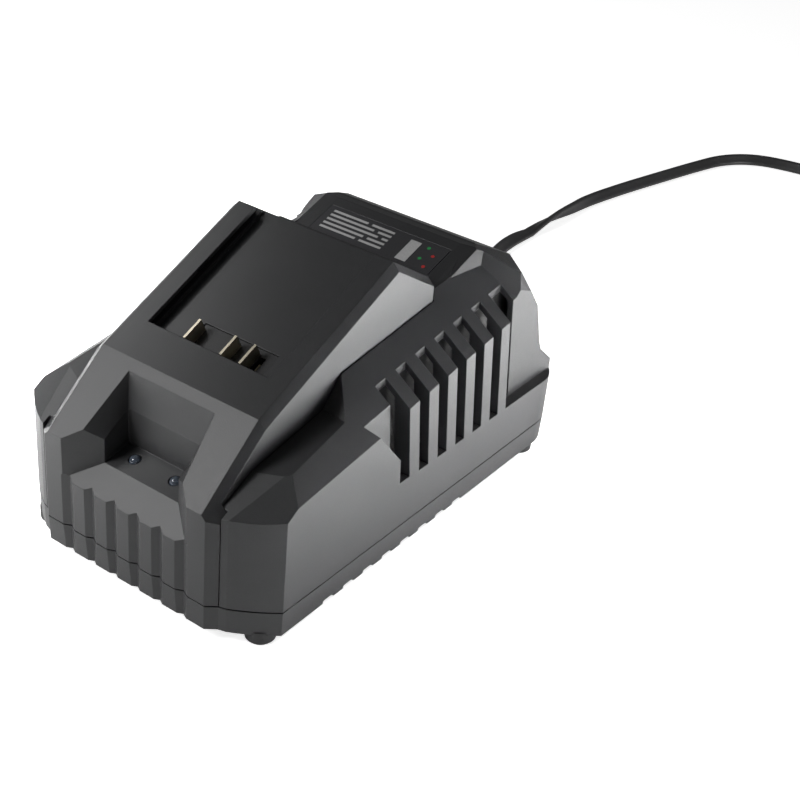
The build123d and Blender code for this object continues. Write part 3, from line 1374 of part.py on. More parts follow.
def make_tie():
    """A flat band around the turns of the coil."""
    width = CORD_WIDTH * COIL_TURNS_WIDE
    height = CORD_THICKNESS * COIL_TURNS_HIGH
    thick = TIE_THICKNESS
    band = Box(width + thick * 2, TIE_WIDTH, height + thick, align=LOW)
    return Pos(*COIL_CENTRE, 0) * Rot(0, 0, TIE_ANGLE) * Pos(COIL_RADIUS, 0, 0) * band - coil_ring()


def make_plug():
    """Two-pin plug with a flat body, lying on the coil."""
    x, y, z = TAIL_ROUTE[-1]
    place = Pos(COIL_CENTRE[0] + x, COIL_CENTRE[1] + y, z) * Rot(90, 0, 0)
    neck = Cone(BOOT_TIP / 2, BOOT_ROOT / 2, PLUG_NECK_LENGTH, align=LOW)
    body = Box(PLUG_WIDTH, PLUG_HEIGHT, PLUG_LENGTH, align=LOW)
    body = fillet(body.edges().filter_by(Axis.Z), PLUG_HEIGHT / 2 - 0.5)
    body = chamfer(body.edges().group_by(Axis.Z)[-1], 1.0)
    solid = place * (neck + Pos(0, 0, PLUG_NECK_LENGTH) * body)
    pins = []
    for side in (-PIN_SPACING / 2, PIN_SPACING / 2):
        pin = Cylinder(PIN_DIAMETER / 2, PIN_LENGTH, align=LOW)
        pin = fillet(pin.edges().sort_by(Axis.Z)[-1], PIN_DIAMETER / 2 - 0.2)
        pins.append(place * Pos(side, 0, PLUG_NECK_LENGTH + PLUG_LENGTH) * pin)
    return solid, pins


def save_lead():
    """The lead, its coil and everything on it, in the part's own frame."""
    ring = coil_ring()
    tail = [(COIL_CENTRE[0] + x, COIL_CENTRE[1] + y, z) for x, y, z in TAIL_ROUTE]
    plug, pins = make_plug()
    save("mains_cord", lead_tube("mains_cord", LEAD_ROUTE) - ring - to_frame(make_boot()))
    save("cord_tail", lead_tube("cord_tail", tail) - plug)
    save("cord_coil", ring)
    save("cord_tie", make_tie())
    save("plug_body", plug)
    save("plug_pins", *pins)


# ---------------------------------------------------------------- all pieces
def housing_pieces():
    """Every piece of the housing and its inside, by node name."""
    pieces = {
        "lower_housing": make_lower_housing(),
        "upper_housing": make_upper_housing(),
        "dock_cover": make_dock_cover(),
        "rubber_feet": make_feet(),
        "housing_screws": make_housing_screws(boss_places()[:2]),
        "dock_screws": make_housing_screws(boss_places()[2:]),
        "label_plate": label_sheet(LABEL_SINK, 0.0),
        "terminal_block": make_terminal_block(),
        "terminal_screws": make_terminal_screws(),
        "signal_contact": signal_spring(),
        "led_left": make_led(-LED_X),
        "led_right": make_led(LED_X),
        "led_legs": make_led_legs(),
        "led_board": make_led_board(),
        "insulation_sheets": make_screens(),
        "main_board": make_main_board(),
        "board_screws": [small_screw(x, y, BOARD_TOP) for x, y in board_hole_places()],
        "bulk_capacitor": can(*BULK_AT, BULK_DIAMETER, BULK_HEIGHT),
        "output_capacitors": [output_can(y) for y in OUTPUT_CAP_YS],
        "filter_capacitor": make_filter_capacitor(),
        "bridge_rectifier": on_board(RECTIFIER_AT, RECTIFIER_SIZE),
        "primary_heat_sink": make_sink(SINK_LEFT_AT, 1),
        "secondary_heat_sink": make_sink(SINK_RIGHT_AT, -1),
        "switching_transistor": make_package(SINK_LEFT_AT, 1),
        "output_rectifier": make_package(SINK_RIGHT_AT, -1),
        "control_chip": on_board(CHIP_AT, CHIP_SIZE),
        "optocoupler": on_board(COUPLER_AT, COUPLER_SIZE),
        "output_socket": on_board(SOCKET_AT, SOCKET_SIZE),
        "signal_socket": on_board(PLUG_IN_AT, PLUG_IN_SIZE),
        "inlet_terminal": on_board(INLET_AT, INLET_SIZE),
        "output_wires": make_output_wires(),
        "led_wires": make_led_wires(),
        "mains_wires": make_mains_wires(),
        "strain_relief": make_boot(),
        "cord_clamp": make_clamp(),
        "clamp_screws": [small_screw(x, y, EXIT_Z + CLAMP_HEIGHT) for x, y in clamp_screw_places()],
    }
    for polarity, x in BLADE_X.items():
        pieces[f"blade_{polarity}"] = blade(x)
    pieces.update(make_transformer())
    pieces.update(make_choke())
    pieces.update(make_fuse())
    return pieces


def make_clamp():
    """The bar that holds the boot down, with a clearance hole for each screw."""
    bar = clamp_block(EXIT_Z, EXIT_Z + CLAMP_HEIGHT) - boot_stub(BOOT_STUB)
    for x, y in clamp_screw_places():
        bar -= post(x, y, EXIT_Z - 1, EXIT_Z + CLAMP_HEIGHT + 1, BOARD_SCREW_D + SCREW_CLEARANCE * 2)
    return bar


def main():
    """Write one STEP file for each piece."""
    os.makedirs("parts", exist_ok=True)
    for name, piece in housing_pieces().items():
        solids = piece if isinstance(piece, list) else [piece]
        save(name, *[to_frame(solid) for solid in solids])
    save_lead()


main()
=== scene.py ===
"""Looks of the battery charger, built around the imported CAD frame.

Metres, in the part's own frame: the origin is under the middle of the housing, +X to the right,
+Y to the rear, +Z up. Lengths that were read in millimetres are written as number * MM.
"""
import json
import math

import bmesh
import bpy
from mathutils import Matrix, Vector


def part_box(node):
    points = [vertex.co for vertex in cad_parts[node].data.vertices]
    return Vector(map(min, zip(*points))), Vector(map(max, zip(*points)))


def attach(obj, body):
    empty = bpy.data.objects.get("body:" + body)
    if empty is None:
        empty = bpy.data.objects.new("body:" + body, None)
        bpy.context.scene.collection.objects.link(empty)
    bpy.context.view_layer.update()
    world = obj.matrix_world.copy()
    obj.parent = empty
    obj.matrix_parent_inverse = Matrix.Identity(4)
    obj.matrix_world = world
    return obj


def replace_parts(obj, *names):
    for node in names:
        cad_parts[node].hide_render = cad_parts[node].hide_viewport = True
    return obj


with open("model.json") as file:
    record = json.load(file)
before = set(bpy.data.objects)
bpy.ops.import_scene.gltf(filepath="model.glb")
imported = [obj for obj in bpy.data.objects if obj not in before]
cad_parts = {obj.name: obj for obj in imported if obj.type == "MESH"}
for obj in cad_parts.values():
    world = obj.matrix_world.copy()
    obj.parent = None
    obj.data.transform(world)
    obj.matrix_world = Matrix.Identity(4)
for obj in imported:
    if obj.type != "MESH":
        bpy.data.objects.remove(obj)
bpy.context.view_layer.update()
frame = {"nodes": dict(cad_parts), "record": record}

MM = 0.001
ROOT = "root"
UP = Vector((0, 0, 1))
collection = bpy.context.scene.collection

# ---------------------------------------------------------------- camera
# Place, direction and lens that show the housing as the photograph does. The lens and the sensor
# are in millimetres, as Blender has them.
CAMERA_AT = Vector((0.2818, -0.3681, 0.3196))
CAMERA_AZIMUTH = math.radians(32.93)
CAMERA_ELEVATION = math.radians(31.12)
CAMERA_ROLL = math.radians(5.88)
CAMERA_LENS = 62.25
CAMERA_SENSOR = 36.0


def make_camera():
    """Pinhole camera at the photograph's place, turned about its own axis by the roll."""
    ahead = Vector((
        -math.sin(CAMERA_AZIMUTH) * math.cos(CAMERA_ELEVATION),
        math.cos(CAMERA_AZIMUTH) * math.cos(CAMERA_ELEVATION),
        -math.sin(CAMERA_ELEVATION),
    ))
    level = ahead.cross(UP).normalized()
    above = level.cross(ahead)
    right = math.cos(CAMERA_ROLL) * level + math.sin(CAMERA_ROLL) * above
    top = math.cos(CAMERA_ROLL) * above - math.sin(CAMERA_ROLL) * level
    turn = Matrix((right, top, -ahead)).transposed()
    data = bpy.data.cameras.new("camera")
    data.lens = CAMERA_LENS
    data.sensor_width = CAMERA_SENSOR
    data.clip_start = 0.01
    data.clip_end = 20.0
    camera = bpy.data.objects.new("camera", data)
    collection.objects.link(camera)
    camera.matrix_world = Matrix.Translation(CAMERA_AT) @ turn.to_4x4()
    bpy.context.scene.camera = camera


make_camera()

# ---------------------------------------------------------------- the lead's route
CORD_WIDTH = 7.2 * MM
CORD_THICKNESS = 3.6 * MM
CORD_CLEARANCE = 0.1 * MM
CORD_LIE = CORD_THICKNESS / 2 + CORD_CLEARANCE
LAYER_LIFT = CORD_THICKNESS
BOOT_TIP_AT = (-30 * MM, 129 * MM, 23.5 * MM)
COIL_CENTRE = Vector((76.0, 535.9, 0.0)) * MM
COIL_RADII = (43.2 * MM, 36.8 * MM, 30.4 * MM, 30.4 * MM, 36.8 * MM, 42.6 * MM)
COIL_ENTRY = math.radians(270)
COIL_SPAN = math.radians(360 * 5 + 96)
COIL_STEPS_PER_TURN = 16

# Places in the coil, counted in turns: where each turn moves over to the next ring, and where the
# lead climbs to its second layer and its last one. LAST_LIFT is in layers.
RING_CHANGE_AT = 0.7
CLIMB_AT = 2.6
CLIMB_REACH = 0.5
LAST_LIFT_AT = 5.0
LAST_LIFT_REACH = 0.25
LAST_LIFT = 0.97

# From the tip of the boot down to the table and along it to the coil.
LEAD_ROUTE = [
    BOOT_TIP_AT,
    (-0.0304, 0.1450, 0.0226),
    (-0.0326, 0.1620, 0.0182),
    (-0.0372, 0.1800, 0.0106),
    (-0.0442, 0.1995, 0.0048),
    (-0.0520, 0.2200, 0.0023),
    (-0.0572, 0.2420, 0.0019),
    (-0.0588, 0.2690, 0.0019),
    (-0.0578, 0.2995, 0.0019),
    (-0.0560, 0.3335, 0.0019),
    (-0.0502, 0.3675, 0.0019),
    (-0.0418, 0.4055, 0.0019),
    (-0.0340, 0.4395, 0.0019),
    (-0.0270, 0.4655, 0.0019),
    (-0.0120, 0.4835, 0.0019),
    (0.0100, 0.4905, 0.0019),
    (0.0360, 0.4927, 0.0019),
    (0.0680, 0.4927, 0.0019),
]

# From the top of the coil to the neck of the plug, measured from the middle of the coil.
TAIL_ROUTE = [
    (0.0380, 0.0180, 0.0090),
    (0.0270, 0.0315, 0.0090),
    (0.0110, 0.0385, 0.0090),
    (-0.0070, 0.0365, 0.0096),
    (-0.0225, 0.0270, 0.0112),
    (-0.0310, 0.0120, 0.0132),
    (-0.0325, -0.0050, 0.0140),
]


def share_of(value, start, reach):
    """How far a value has gone through a stretch, held between 0 and 1."""
    return min(1.0, max(0.0, (value - start) / reach))


def coil_points():
    """Three turns side by side on the table, then the rest on top of them, going outward."""
    count = round(COIL_SPAN / math.tau * COIL_STEPS_PER_TURN)
    points = []
    for i in range(count + 1):
        share = i / count
        turns = share * COIL_SPAN / math.tau
        ring = min(int(turns), len(COIL_RADII) - 1)
        following = min(ring + 1, len(COIL_RADII) - 1)
        blend = share_of(turns - ring, RING_CHANGE_AT, 1 - RING_CHANGE_AT)
        radius = COIL_RADII[ring] * (1 - blend) + COIL_RADII[following] * blend
        climb = share_of(turns, CLIMB_AT, CLIMB_REACH)
        lift = share_of(turns, LAST_LIFT_AT, LAST_LIFT_REACH)
        angle = COIL_ENTRY + share * COIL_SPAN
        points.append(Vector((
            COIL_CENTRE.x + radius * math.cos(angle),
            COIL_CENTRE.y + radius * math.sin(angle),
            CORD_LIE + LAYER_LIFT * (climb + lift * LAST_LIFT),
        )))
    return points


SPLINE_ORDER = 3
SPLINE_STEPS = 6


def spline_points(points, name):
    """The line of a smooth NURBS spline that has these points as its control points."""
    data = bpy.data.curves.new(name, "CURVE")
    data.dimensions = "3D"
    spline = data.splines.new("NURBS")
    spline.points.add(len(points) - 1)
    for place, point in zip(spline.points, points):
        place.co = (*point, 1.0)
    spline.order_u = SPLINE_ORDER
    spline.use_endpoint_u = True
    spline.resolution_u = SPLINE_STEPS
    holder = bpy.data.objects.new(name, data)
    collection.objects.link(holder)
    bpy.context.view_layer.update()
    mesh = bpy.data.meshes.new_from_object(holder)
    line = [v.co.copy() for v in mesh.vertices]
    bpy.data.objects.remove(holder)
    bpy.data.curves.remove(data)
    bpy.data.meshes.remove(mesh)
    return line


# ---------------------------------------------------------------- mesh helpers
def add_piece(name, mesh, material, smooth=True):
    """A mesh object that rides on the one body, with its material."""
    piece = bpy.data.objects.new(name, mesh)
    collection.objects.link(piece)
    mesh.materials.append(material)
    if smooth:
        mesh.shade_smooth()
    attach(piece, ROOT)
    return piece


def mesh_from(name, build):
    """A mesh made by a function that fills a bmesh."""
    work = bmesh.new()
    build(work)
    bmesh.ops.recalc_face_normals(work, faces=work.faces)
    mesh = bpy.data.meshes.new(name)
    work.to_mesh(mesh)
    work.free()
    return mesh


def skin(work, rings):
    """A closed form over rings of vertices that all have the same count."""
    rows = [[work.verts.new(point) for point in ring] for ring in rings]
    for near, far in zip(rows, rows[1:]):
        for i in range(len(near)):
            following = (i + 1) % len(near)
            work.faces.new((near[i], near[following], far[following], far[i]))
    work.faces.new(rows[0])
    work.faces.new(list(reversed(rows[-1])))


def lathe_rings(profile, origin, axis, side, sides):
    """Rings of a turned form: profile is a list of (distance along the axis, radius)."""
    other = axis.cross(side)
    rings = []
    for along, radius in profile:
        ring = []
        for i in range(sides):
            angle = math.tau * i / sides
            offset = math.cos(angle) * side + math.sin(angle) * other
            ring.append(origin + axis * along + offset * radius)
        rings.append(ring)
    return rings


# ---------------------------------------------------------------- materials
EDGE_SAMPLES = 6
FLOW_MARK_SIZE = 38 * MM
PATCH_SIZE = 4 * MM
RIPPLE_SIZE = 1.2 * MM


def new_material(name):
    """A node material, its tree and its Principled shader."""
    material = bpy.data.materials.new(name)
    material.use_nodes = True
    tree = material.node_tree
    shader = tree.nodes["Principled BSDF"]
    return material, tree, shader


def link(tree, source, target):
    """Joins an output socket to an input socket."""
    tree.links.new(source, target)


def object_coordinates(tree):
    """Coordinates that move with the object, in metres."""
    return tree.nodes.new("ShaderNodeTexCoord").outputs["Object"]


def noise(tree, place, scale, detail=2.0, roughness=0.5):
    """Cloudy noise between 0 and 1; scale is one over the size of its spots."""
    node = tree.nodes.new("ShaderNodeTexNoise")
    node.inputs["Scale"].default_value = scale
    node.inputs["Detail"].default_value = detail
    node.inputs["Roughness"].default_value = roughness
    link(tree, place, node.inputs["Vector"])
    return node.outputs["Fac"]


def spread(tree, source, low, high, start=0.0, end=1.0):
    """Maps a value from start..end to low..high."""
    node = tree.nodes.new("ShaderNodeMapRange")
    for socket, value in zip(("From Min", "From Max", "To Min", "To Max"), (start, end, low, high)):
        node.inputs[socket].default_value = value
    link(tree, source, node.inputs["Value"])
    return node.outputs["Result"]


def combined(tree, first, second, operation="MAXIMUM"):
    """The greater of two sockets, or their sum or product when the operation says so."""
    node = tree.nodes.new("ShaderNodeMath")
    node.operation = operation
    link(tree, first, node.inputs[0])
    link(tree, second, node.inputs[1])
    return node.outputs[0]


def tint(tree, factor, colour, other):
    """Mixes two colours by a factor socket."""
    node = tree.nodes.new("ShaderNodeMix")
    node.data_type = "RGBA"
    node.inputs[6].default_value = (*colour, 1.0)
    node.inputs[7].default_value = (*other, 1.0)
    link(tree, factor, node.inputs[0])
    return node.outputs[2]


def bump(tree, height, distance, edge=0.0):
    """Bump from a height socket, on edges rounded by a radius where one is given."""
    node = tree.nodes.new("ShaderNodeBump")
    node.inputs["Strength"].default_value = 1.0
    node.inputs["Distance"].default_value = distance
    link(tree, height, node.inputs["Height"])
    if edge:
        rounding = tree.nodes.new("ShaderNodeBevel")
        rounding.samples = EDGE_SAMPLES
        rounding.inputs["Radius"].default_value = edge
        link(tree, rounding.outputs["Normal"], node.inputs["Normal"])
    return node.outputs["Normal"]


def moulded(name, colour, roughness=0.46, grain=0.42 * MM, depth=0.045 * MM, edge=0.0, specular=0.5):
    """Moulded plastic: a fine spark-eroded grain, faint flow marks and uneven gloss."""
    material, tree, shader = new_material(name)
    place = object_coordinates(tree)
    fine = noise(tree, place, 1 / grain, detail=3.0, roughness=0.6)
    broad = noise(tree, place, 1 / FLOW_MARK_SIZE, detail=2.0)
    darker = tuple(c * 0.80 for c in colour)
    lighter = tuple(min(1.0, c * 1.18) for c in colour)
    speckle = combined(tree, spread(tree, broad, 0.0, 0.5, 0.3, 0.7),
                     spread(tree, fine, 0.0, 0.5, 0.35, 0.65), "ADD")
    link(tree, tint(tree, speckle, darker, lighter), shader.inputs["Base Color"])
    link(tree, spread(tree, fine, roughness - 0.07, roughness + 0.07, 0.3, 0.7),
         shader.inputs["Roughness"])
    link(tree, bump(tree, fine, depth, edge=edge), shader.inputs["Normal"])
    shader.inputs["Specular IOR Level"].default_value = specular
    return material


def metal(name, colour, roughness=0.32, brushing=0.5 * MM, tarnish=0.25):
    """Sheet or turned metal: fine brushing and patches of duller surface."""
    material, tree, shader = new_material(name)
    place = object_coordinates(tree)
    stretch = tree.nodes.new("ShaderNodeMapping")
    stretch.inputs["Scale"].default_value = (1.0, 0.12, 1.0)
    link(tree, place, stretch.inputs["Vector"])
    fine = noise(tree, stretch.outputs["Vector"], 1 / brushing, detail=4.0)
    patches = noise(tree, place, 1 / PATCH_SIZE, detail=3.0)
    dull = tuple(c * (1 - tarnish) for c in colour)
    link(tree, tint(tree, patches, dull, colour), shader.inputs["Base Color"])
    link(tree, spread(tree, patches, roughness - 0.1, roughness + 0.12), shader.inputs["Roughness"])
    link(tree, bump(tree, fine, 0.01 * MM), shader.inputs["Normal"])
    shader.inputs["Metallic"].default_value = 1.0
    return material


def clear(name, colour, roughness=0.08):
    """Clear cast resin or glass, with faint ripples."""
    material, tree, shader = new_material(name)
    place = object_coordinates(tree)
    ripple = noise(tree, place, 1 / RIPPLE_SIZE, detail=1.0)
    link(tree, bump(tree, ripple, 0.02 * MM), shader.inputs["Normal"])
    link(tree, tint(tree, ripple, colour, tuple(c * 0.92 for c in colour)), shader.inputs["Base Color"])
    shader.inputs["Roughness"].default_value = roughness
    shader.inputs["Transmission Weight"].default_value = 0.85
    shader.inputs["IOR"].default_value = 1.5
    return material


def board(name):
    """Printed board: green lacquer over faint tracks."""
    material, tree, shader = new_material(name)
    place = object_coordinates(tree)
    tracks = tree.nodes.new("ShaderNodeTexBrick")
    tracks.inputs["Scale"].default_value = 90.0
    tracks.inputs["Mortar Size"].default_value = 0.06
    link(tree, place, tracks.inputs["Vector"])
    link(tree, tint(tree, tracks.outputs["Fac"], (0.02, 0.12, 0.045), (0.06, 0.26, 0.10)),
         shader.inputs["Base Color"])
    link(tree, bump(tree, tracks.outputs["Fac"], 0.05 * MM), shader.inputs["Normal"])
    shader.inputs["Roughness"].default_value = 0.35
    return material


def wound(name, colour, pitch=0.9 * MM, metallic=0.0):
    """Closely wound wire or tape: fine bands along the winding."""
    material, tree, shader = new_material(name)
    place = object_coordinates(tree)
    bands = tree.nodes.new("ShaderNodeTexWave")
    bands.bands_direction = "Z"
    bands.inputs["Scale"].default_value = 0.32 / pitch
    bands.inputs["Distortion"].default_value = 0.4
    link(tree, place, bands.inputs["Vector"])
    link(tree, tint(tree, bands.outputs["Fac"], tuple(c * 0.6 for c in colour), colour),
         shader.inputs["Base Color"])
    link(tree, bump(tree, bands.outputs["Fac"], 0.15 * MM), shader.inputs["Normal"])
    shader.inputs["Roughness"].default_value = 0.4
    shader.inputs["Metallic"].default_value = metallic
    return material


CHARCOAL = (0.028, 0.0285, 0.030)
EDGE_ROUNDING = 0.45 * MM

materials = {
    "housing_black": moulded("housing_plastic", CHARCOAL, edge=EDGE_ROUNDING),
    "dock_black": moulded("dock_plastic", CHARCOAL, edge=EDGE_ROUNDING),
    "base_black": moulded("base_plastic", (0.026, 0.0265, 0.028), edge=EDGE_ROUNDING),
    "terminal_black": moulded("terminal_plastic", (0.024, 0.024, 0.025), grain=0.2 * MM),
    # The insulating sheet behind the vent slots is a real part. Its near-black colour is painted shade
    # that keeps the slots dark inside.
    "sheet_black": moulded("insulating_sheet_painted_shade", (0.008, 0.008, 0.008), roughness=0.7),
    "contact_metal": metal("contact_plate", (0.72, 0.66, 0.52), roughness=0.4),
    "led_clear": clear("indicator_resin", (0.42, 0.50, 0.64)),
    "lead_metal": metal("tinned_wire", (0.70, 0.70, 0.70)),
    "board_green": board("board_lacquer"),
    "rubber_grey": moulded("foot_rubber", (0.022, 0.022, 0.023), roughness=0.62, grain=0.5 * MM),
    "screw_steel": metal("screw_steel", (0.52, 0.52, 0.54)),
    "label_film": moulded("label_film", (0.040, 0.040, 0.043), roughness=0.34, depth=0.006 * MM),
    "cord_black": moulded("cord_sheath", (0.036, 0.036, 0.037), roughness=0.42, grain=0.8 * MM,
                          depth=0.02 * MM, specular=0.45),
    "plug_black": moulded("plug_rubber", (0.016, 0.016, 0.017), roughness=0.42, grain=0.5 * MM),
    "pin_brass": metal("pin_brass", (0.78, 0.68, 0.42), roughness=0.25),
    "tie_black": moulded("tie_nylon", (0.012, 0.012, 0.012), roughness=0.5),
    "ferrite_grey": moulded("ferrite", (0.07, 0.07, 0.075), roughness=0.6, grain=0.9 * MM),
    "bobbin_black": moulded("bobbin_plastic", (0.035, 0.035, 0.035)),
    "winding_yellow": wound("winding_tape", (0.80, 0.62, 0.12)),
    "copper_wire": wound("copper_winding", (0.60, 0.30, 0.14), metallic=0.8),
    "capacitor_blue": moulded("capacitor_sleeve", (0.04, 0.07, 0.20), roughness=0.3),
    "component_black": moulded("component_resin", (0.025, 0.025, 0.025)),
    "component_yellow": moulded("film_capacitor", (0.72, 0.52, 0.08), roughness=0.35),
    "heat_sink": metal("heat_sink_sheet", (0.75, 0.75, 0.76), roughness=0.38),
    "fuse_glass": clear("fuse_glass", (0.90, 0.93, 0.93)),
    "socket_white": moulded("socket_nylon", (0.72, 0.70, 0.62), roughness=0.5),
    "wire_red": moulded("wire_red", (0.42, 0.04, 0.03), roughness=0.38),
    "wire_blue": moulded("wire_blue", (0.04, 0.09, 0.36), roughness=0.38),
}


def dress_cad_nodes():
    """Every CAD node keeps its mesh and takes the material of its record slot."""
    for entry in frame["record"]["subparts"]:
        for place in frame["nodes"][entry["node"]].material_slots:
            place.link = "OBJECT"
            place.material = materials[entry["material_slot"]]


dress_cad_nodes()

# ---------------------------------------------------------------- the lead
SECTION_SIDES = 20
OVAL_POWER = 0.8
DIP_SHARE = 0.30
DIP_SPREAD = 0.30
FLOOR_CLEARANCE = 0.05 * MM

# Turn of the flat section about its line. Places and reaches are lengths walked from the boot.
LEAN_TURN = math.radians(-54)
TWIST_AT = 0.168
TWIST_REACH = 0.130
TWIST_TURN = math.radians(180)
SETTLE_AT = 0.440
SETTLE_REACH = 0.080
SETTLE_TURN = math.radians(54)


def signed_power(value, power):
    """A power of a value's size that keeps its sign."""
    return math.copysign(abs(value) ** power, value)


def cord_section(angle):
    """Two cores side by side in one sheath: a flat oval with a shallow dip in the middle."""
    across = CORD_WIDTH / 2 * signed_power(math.cos(angle), OVAL_POWER)
    up = CORD_THICKNESS / 2 * signed_power(math.sin(angle), OVAL_POWER)
    dip = DIP_SHARE * math.exp(-(math.cos(angle) / DIP_SPREAD) ** 2)
    return across, up * (1 - dip)


def eased(walked, middle, reach):
    """Rises smoothly from 0 to 1 over a stretch of the lead, half of it before the middle."""
    share = share_of(walked, middle - reach / 2, reach)
    return share * share * (3 - 2 * share)


def cord_turn(walked):
    """Turn of the flat section: leaning at the boot, over by a half twist, flat in the end."""
    twist = TWIST_TURN * eased(walked, TWIST_AT, TWIST_REACH)
    return LEAN_TURN + twist + SETTLE_TURN * eased(walked, SETTLE_AT, SETTLE_REACH)


def cord_rings(line):
    """Rings of the flat lead along its line, raised where their turn would reach the floor."""
    rings = []
    walked = 0.0
    for i, point in enumerate(line):
        before = line[max(i - 1, 0)]
        after = line[min(i + 1, len(line) - 1)]
        if i:
            walked += (point - before).length
        ahead = (after - before).normalized()
        level = ahead.cross(UP)
        side = level.normalized()
        over = side.cross(ahead).normalized()
        turn = cord_turn(walked)
        wide = math.cos(turn) * side + math.sin(turn) * over
        thick = math.cos(turn) * over - math.sin(turn) * side
        reach = abs(wide.z) * CORD_WIDTH / 2 + abs(thick.z) * CORD_THICKNESS / 2
        rise = max(0.0, reach + FLOOR_CLEARANCE - point.z)
        ring = []
        for k in range(SECTION_SIDES):
            across, up = cord_section(math.tau * k / SECTION_SIDES)
            ring.append(point + UP * rise + wide * across + thick * up)
        rings.append(ring)
    return rings


def make_lead():
    """The whole lead as one tube: from the boot, along the table, round the coil to the plug."""
    tail = [COIL_CENTRE + Vector(point) for point in TAIL_ROUTE]
    control = [Vector(point) for point in LEAD_ROUTE] + coil_points()[1:] + tail
    line = spline_points(control, "lead_line")
    mesh = mesh_from("mains_lead", lambda work: skin(work, cord_rings(line)))
    lead = add_piece("mains_lead", mesh, materials["cord_black"])
    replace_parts(lead, "mains_cord", "cord_coil", "cord_tail")
    return lead, line


# ---------------------------------------------------------------- boot and plug
BOOT_FOOT_Y = 99 * MM
BOOT_ROOT_RADIUS = 5.2 * MM
BOOT_TIP_RADIUS = 4.0 * MM
BOOT_TIP_CHAMFER = 0.6 * MM
BOOT_TIP_MARGIN = 1.4 * MM
BOOT_RINGS = 7
RING_DEPTH = 1.1 * MM
RING_TAPER = 0.05 * MM
FIRST_RING_AT = 2.6 * MM
COLLAR_RADIUS = 6.3 * MM
COLLAR_EDGE_RADIUS = 5.7 * MM
COLLAR_FROM = -1.0 * MM
COLLAR_TO = 1.2 * MM
COLLAR_EDGE_AT = 1.9 * MM
BOOT_SIDES = 36
BOOT_EDGE_WIDTH = 0.2 * MM


def make_boot():
    """Strain relief: a tapered rubber boot with rings cut into it."""
    length = BOOT_TIP_AT[1] - BOOT_FOOT_Y
    profile = [
        (COLLAR_FROM, COLLAR_RADIUS),
        (COLLAR_TO, COLLAR_RADIUS),
        (COLLAR_EDGE_AT, COLLAR_EDGE_RADIUS),
    ]
    pitch = (length - FIRST_RING_AT - BOOT_TIP_MARGIN) / BOOT_RINGS
    for i in range(BOOT_RINGS):
        start = FIRST_RING_AT + i * pitch
        radius = BOOT_ROOT_RADIUS + (BOOT_TIP_RADIUS - BOOT_ROOT_RADIUS) * start / length
        neck = radius - RING_DEPTH
        profile += [
            (start, neck),
            (start + 0.30 * pitch, neck),
            (start + 0.38 * pitch, radius),
            (start + 0.92 * pitch, radius - RING_TAPER),
        ]
    profile += [
        (length - BOOT_TIP_CHAMFER, BOOT_TIP_RADIUS),
        (length, BOOT_TIP_RADIUS - BOOT_TIP_CHAMFER),
    ]
    origin = Vector((BOOT_TIP_AT[0], BOOT_FOOT_Y, BOOT_TIP_AT[2]))
    rings = lathe_rings(profile, origin, Vector((0, 1, 0)), Vector((1, 0, 0)), BOOT_SIDES)
    mesh = mesh_from("cord_boot", lambda work: skin(work, rings))
    boot = add_piece("cord_boot", mesh, materials["plug_black"])
    edges = boot.modifiers.new("edges", "BEVEL")
    edges.width = BOOT_EDGE_WIDTH
    edges.segments = 2
    edges.limit_method = "ANGLE"
    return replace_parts(boot, "strain_relief")


PLUG_SIDES = 48
PLUG_GRIPS = 5
GRIP_START = 0.30
GRIP_END = 0.60
GRIP_WIDTH = 0.93
GRIP_WIDTH_LOST = 0.26
GRIP_HEIGHT = 0.93
GROOVE_NARROWER = 0.045
GROOVE_HEIGHT = 0.88
GRIP_POWER = 3.6


def rounded_ring(half_x, half_z, centre, power):
    """A ring between an oval and a box, facing along Y."""
    ring = []
    for i in range(PLUG_SIDES):
        angle = math.tau * i / PLUG_SIDES
        x = half_x * signed_power(math.cos(angle), 2 / power)
        z = half_z * signed_power(math.sin(angle), 2 / power)
        ring.append(centre + Vector((x, 0, z)))
    return ring


def plug_stations():
    """Shares of the plug's length, half width and half height, and how square it is there."""
    face = [
        (0.000, 0.90, 0.88, 5.0), (0.012, 0.975, 0.97, 5.0), (0.035, 1.00, 1.00, 5.0),
        (0.20, 1.00, 1.00, 4.5), (0.28, 0.96, 0.97, 4.0),
    ]
    grips = []
    step = (GRIP_END - GRIP_START) / PLUG_GRIPS
    for i in range(PLUG_GRIPS):
        start = GRIP_START + i * step
        wide = GRIP_WIDTH - GRIP_WIDTH_LOST * (start - GRIP_START) / (GRIP_END - GRIP_START)
        narrow = wide - GROOVE_NARROWER
        grips += [
            (start, wide, GRIP_HEIGHT, GRIP_POWER),
            (start + 0.25 * step, narrow, GROOVE_HEIGHT, GRIP_POWER),
            (start + 0.60 * step, narrow, GROOVE_HEIGHT, GRIP_POWER),
            (start + 0.85 * step, wide, GRIP_HEIGHT, GRIP_POWER),
        ]
    neck = [
        (0.64, 0.58, 0.84, 3.2), (0.70, 0.42, 0.72, 2.8), (0.76, 0.30, 0.60, 2.4),
        (0.84, 0.24, 0.52, 2.2), (0.93, 0.215, 0.46, 2.0), (1.00, 0.205, 0.42, 2.0),
    ]
    return face + grips + neck


def make_plug():
    """Two-pin plug: a flat neck that opens into a waisted body with finger grips."""
    low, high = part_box("plug_body")
    middle = (low + high) / 2
    half_x = (high.x - low.x) / 2
    half_z = (high.z - low.z) / 2
    length = high.y - low.y
    rings = [
        rounded_ring(half_x * wide, half_z * tall,
                     Vector((middle.x, low.y + length * along, middle.z)), power)
        for along, wide, tall, power in plug_stations()
    ]
    mesh = mesh_from("plug_shell", lambda work: skin(work, rings))
    plug = add_piece("plug_shell", mesh, materials["plug_black"])
    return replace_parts(plug, "plug_body")


lead, lead_line = make_lead()
boot = make_boot()
plug = make_plug()

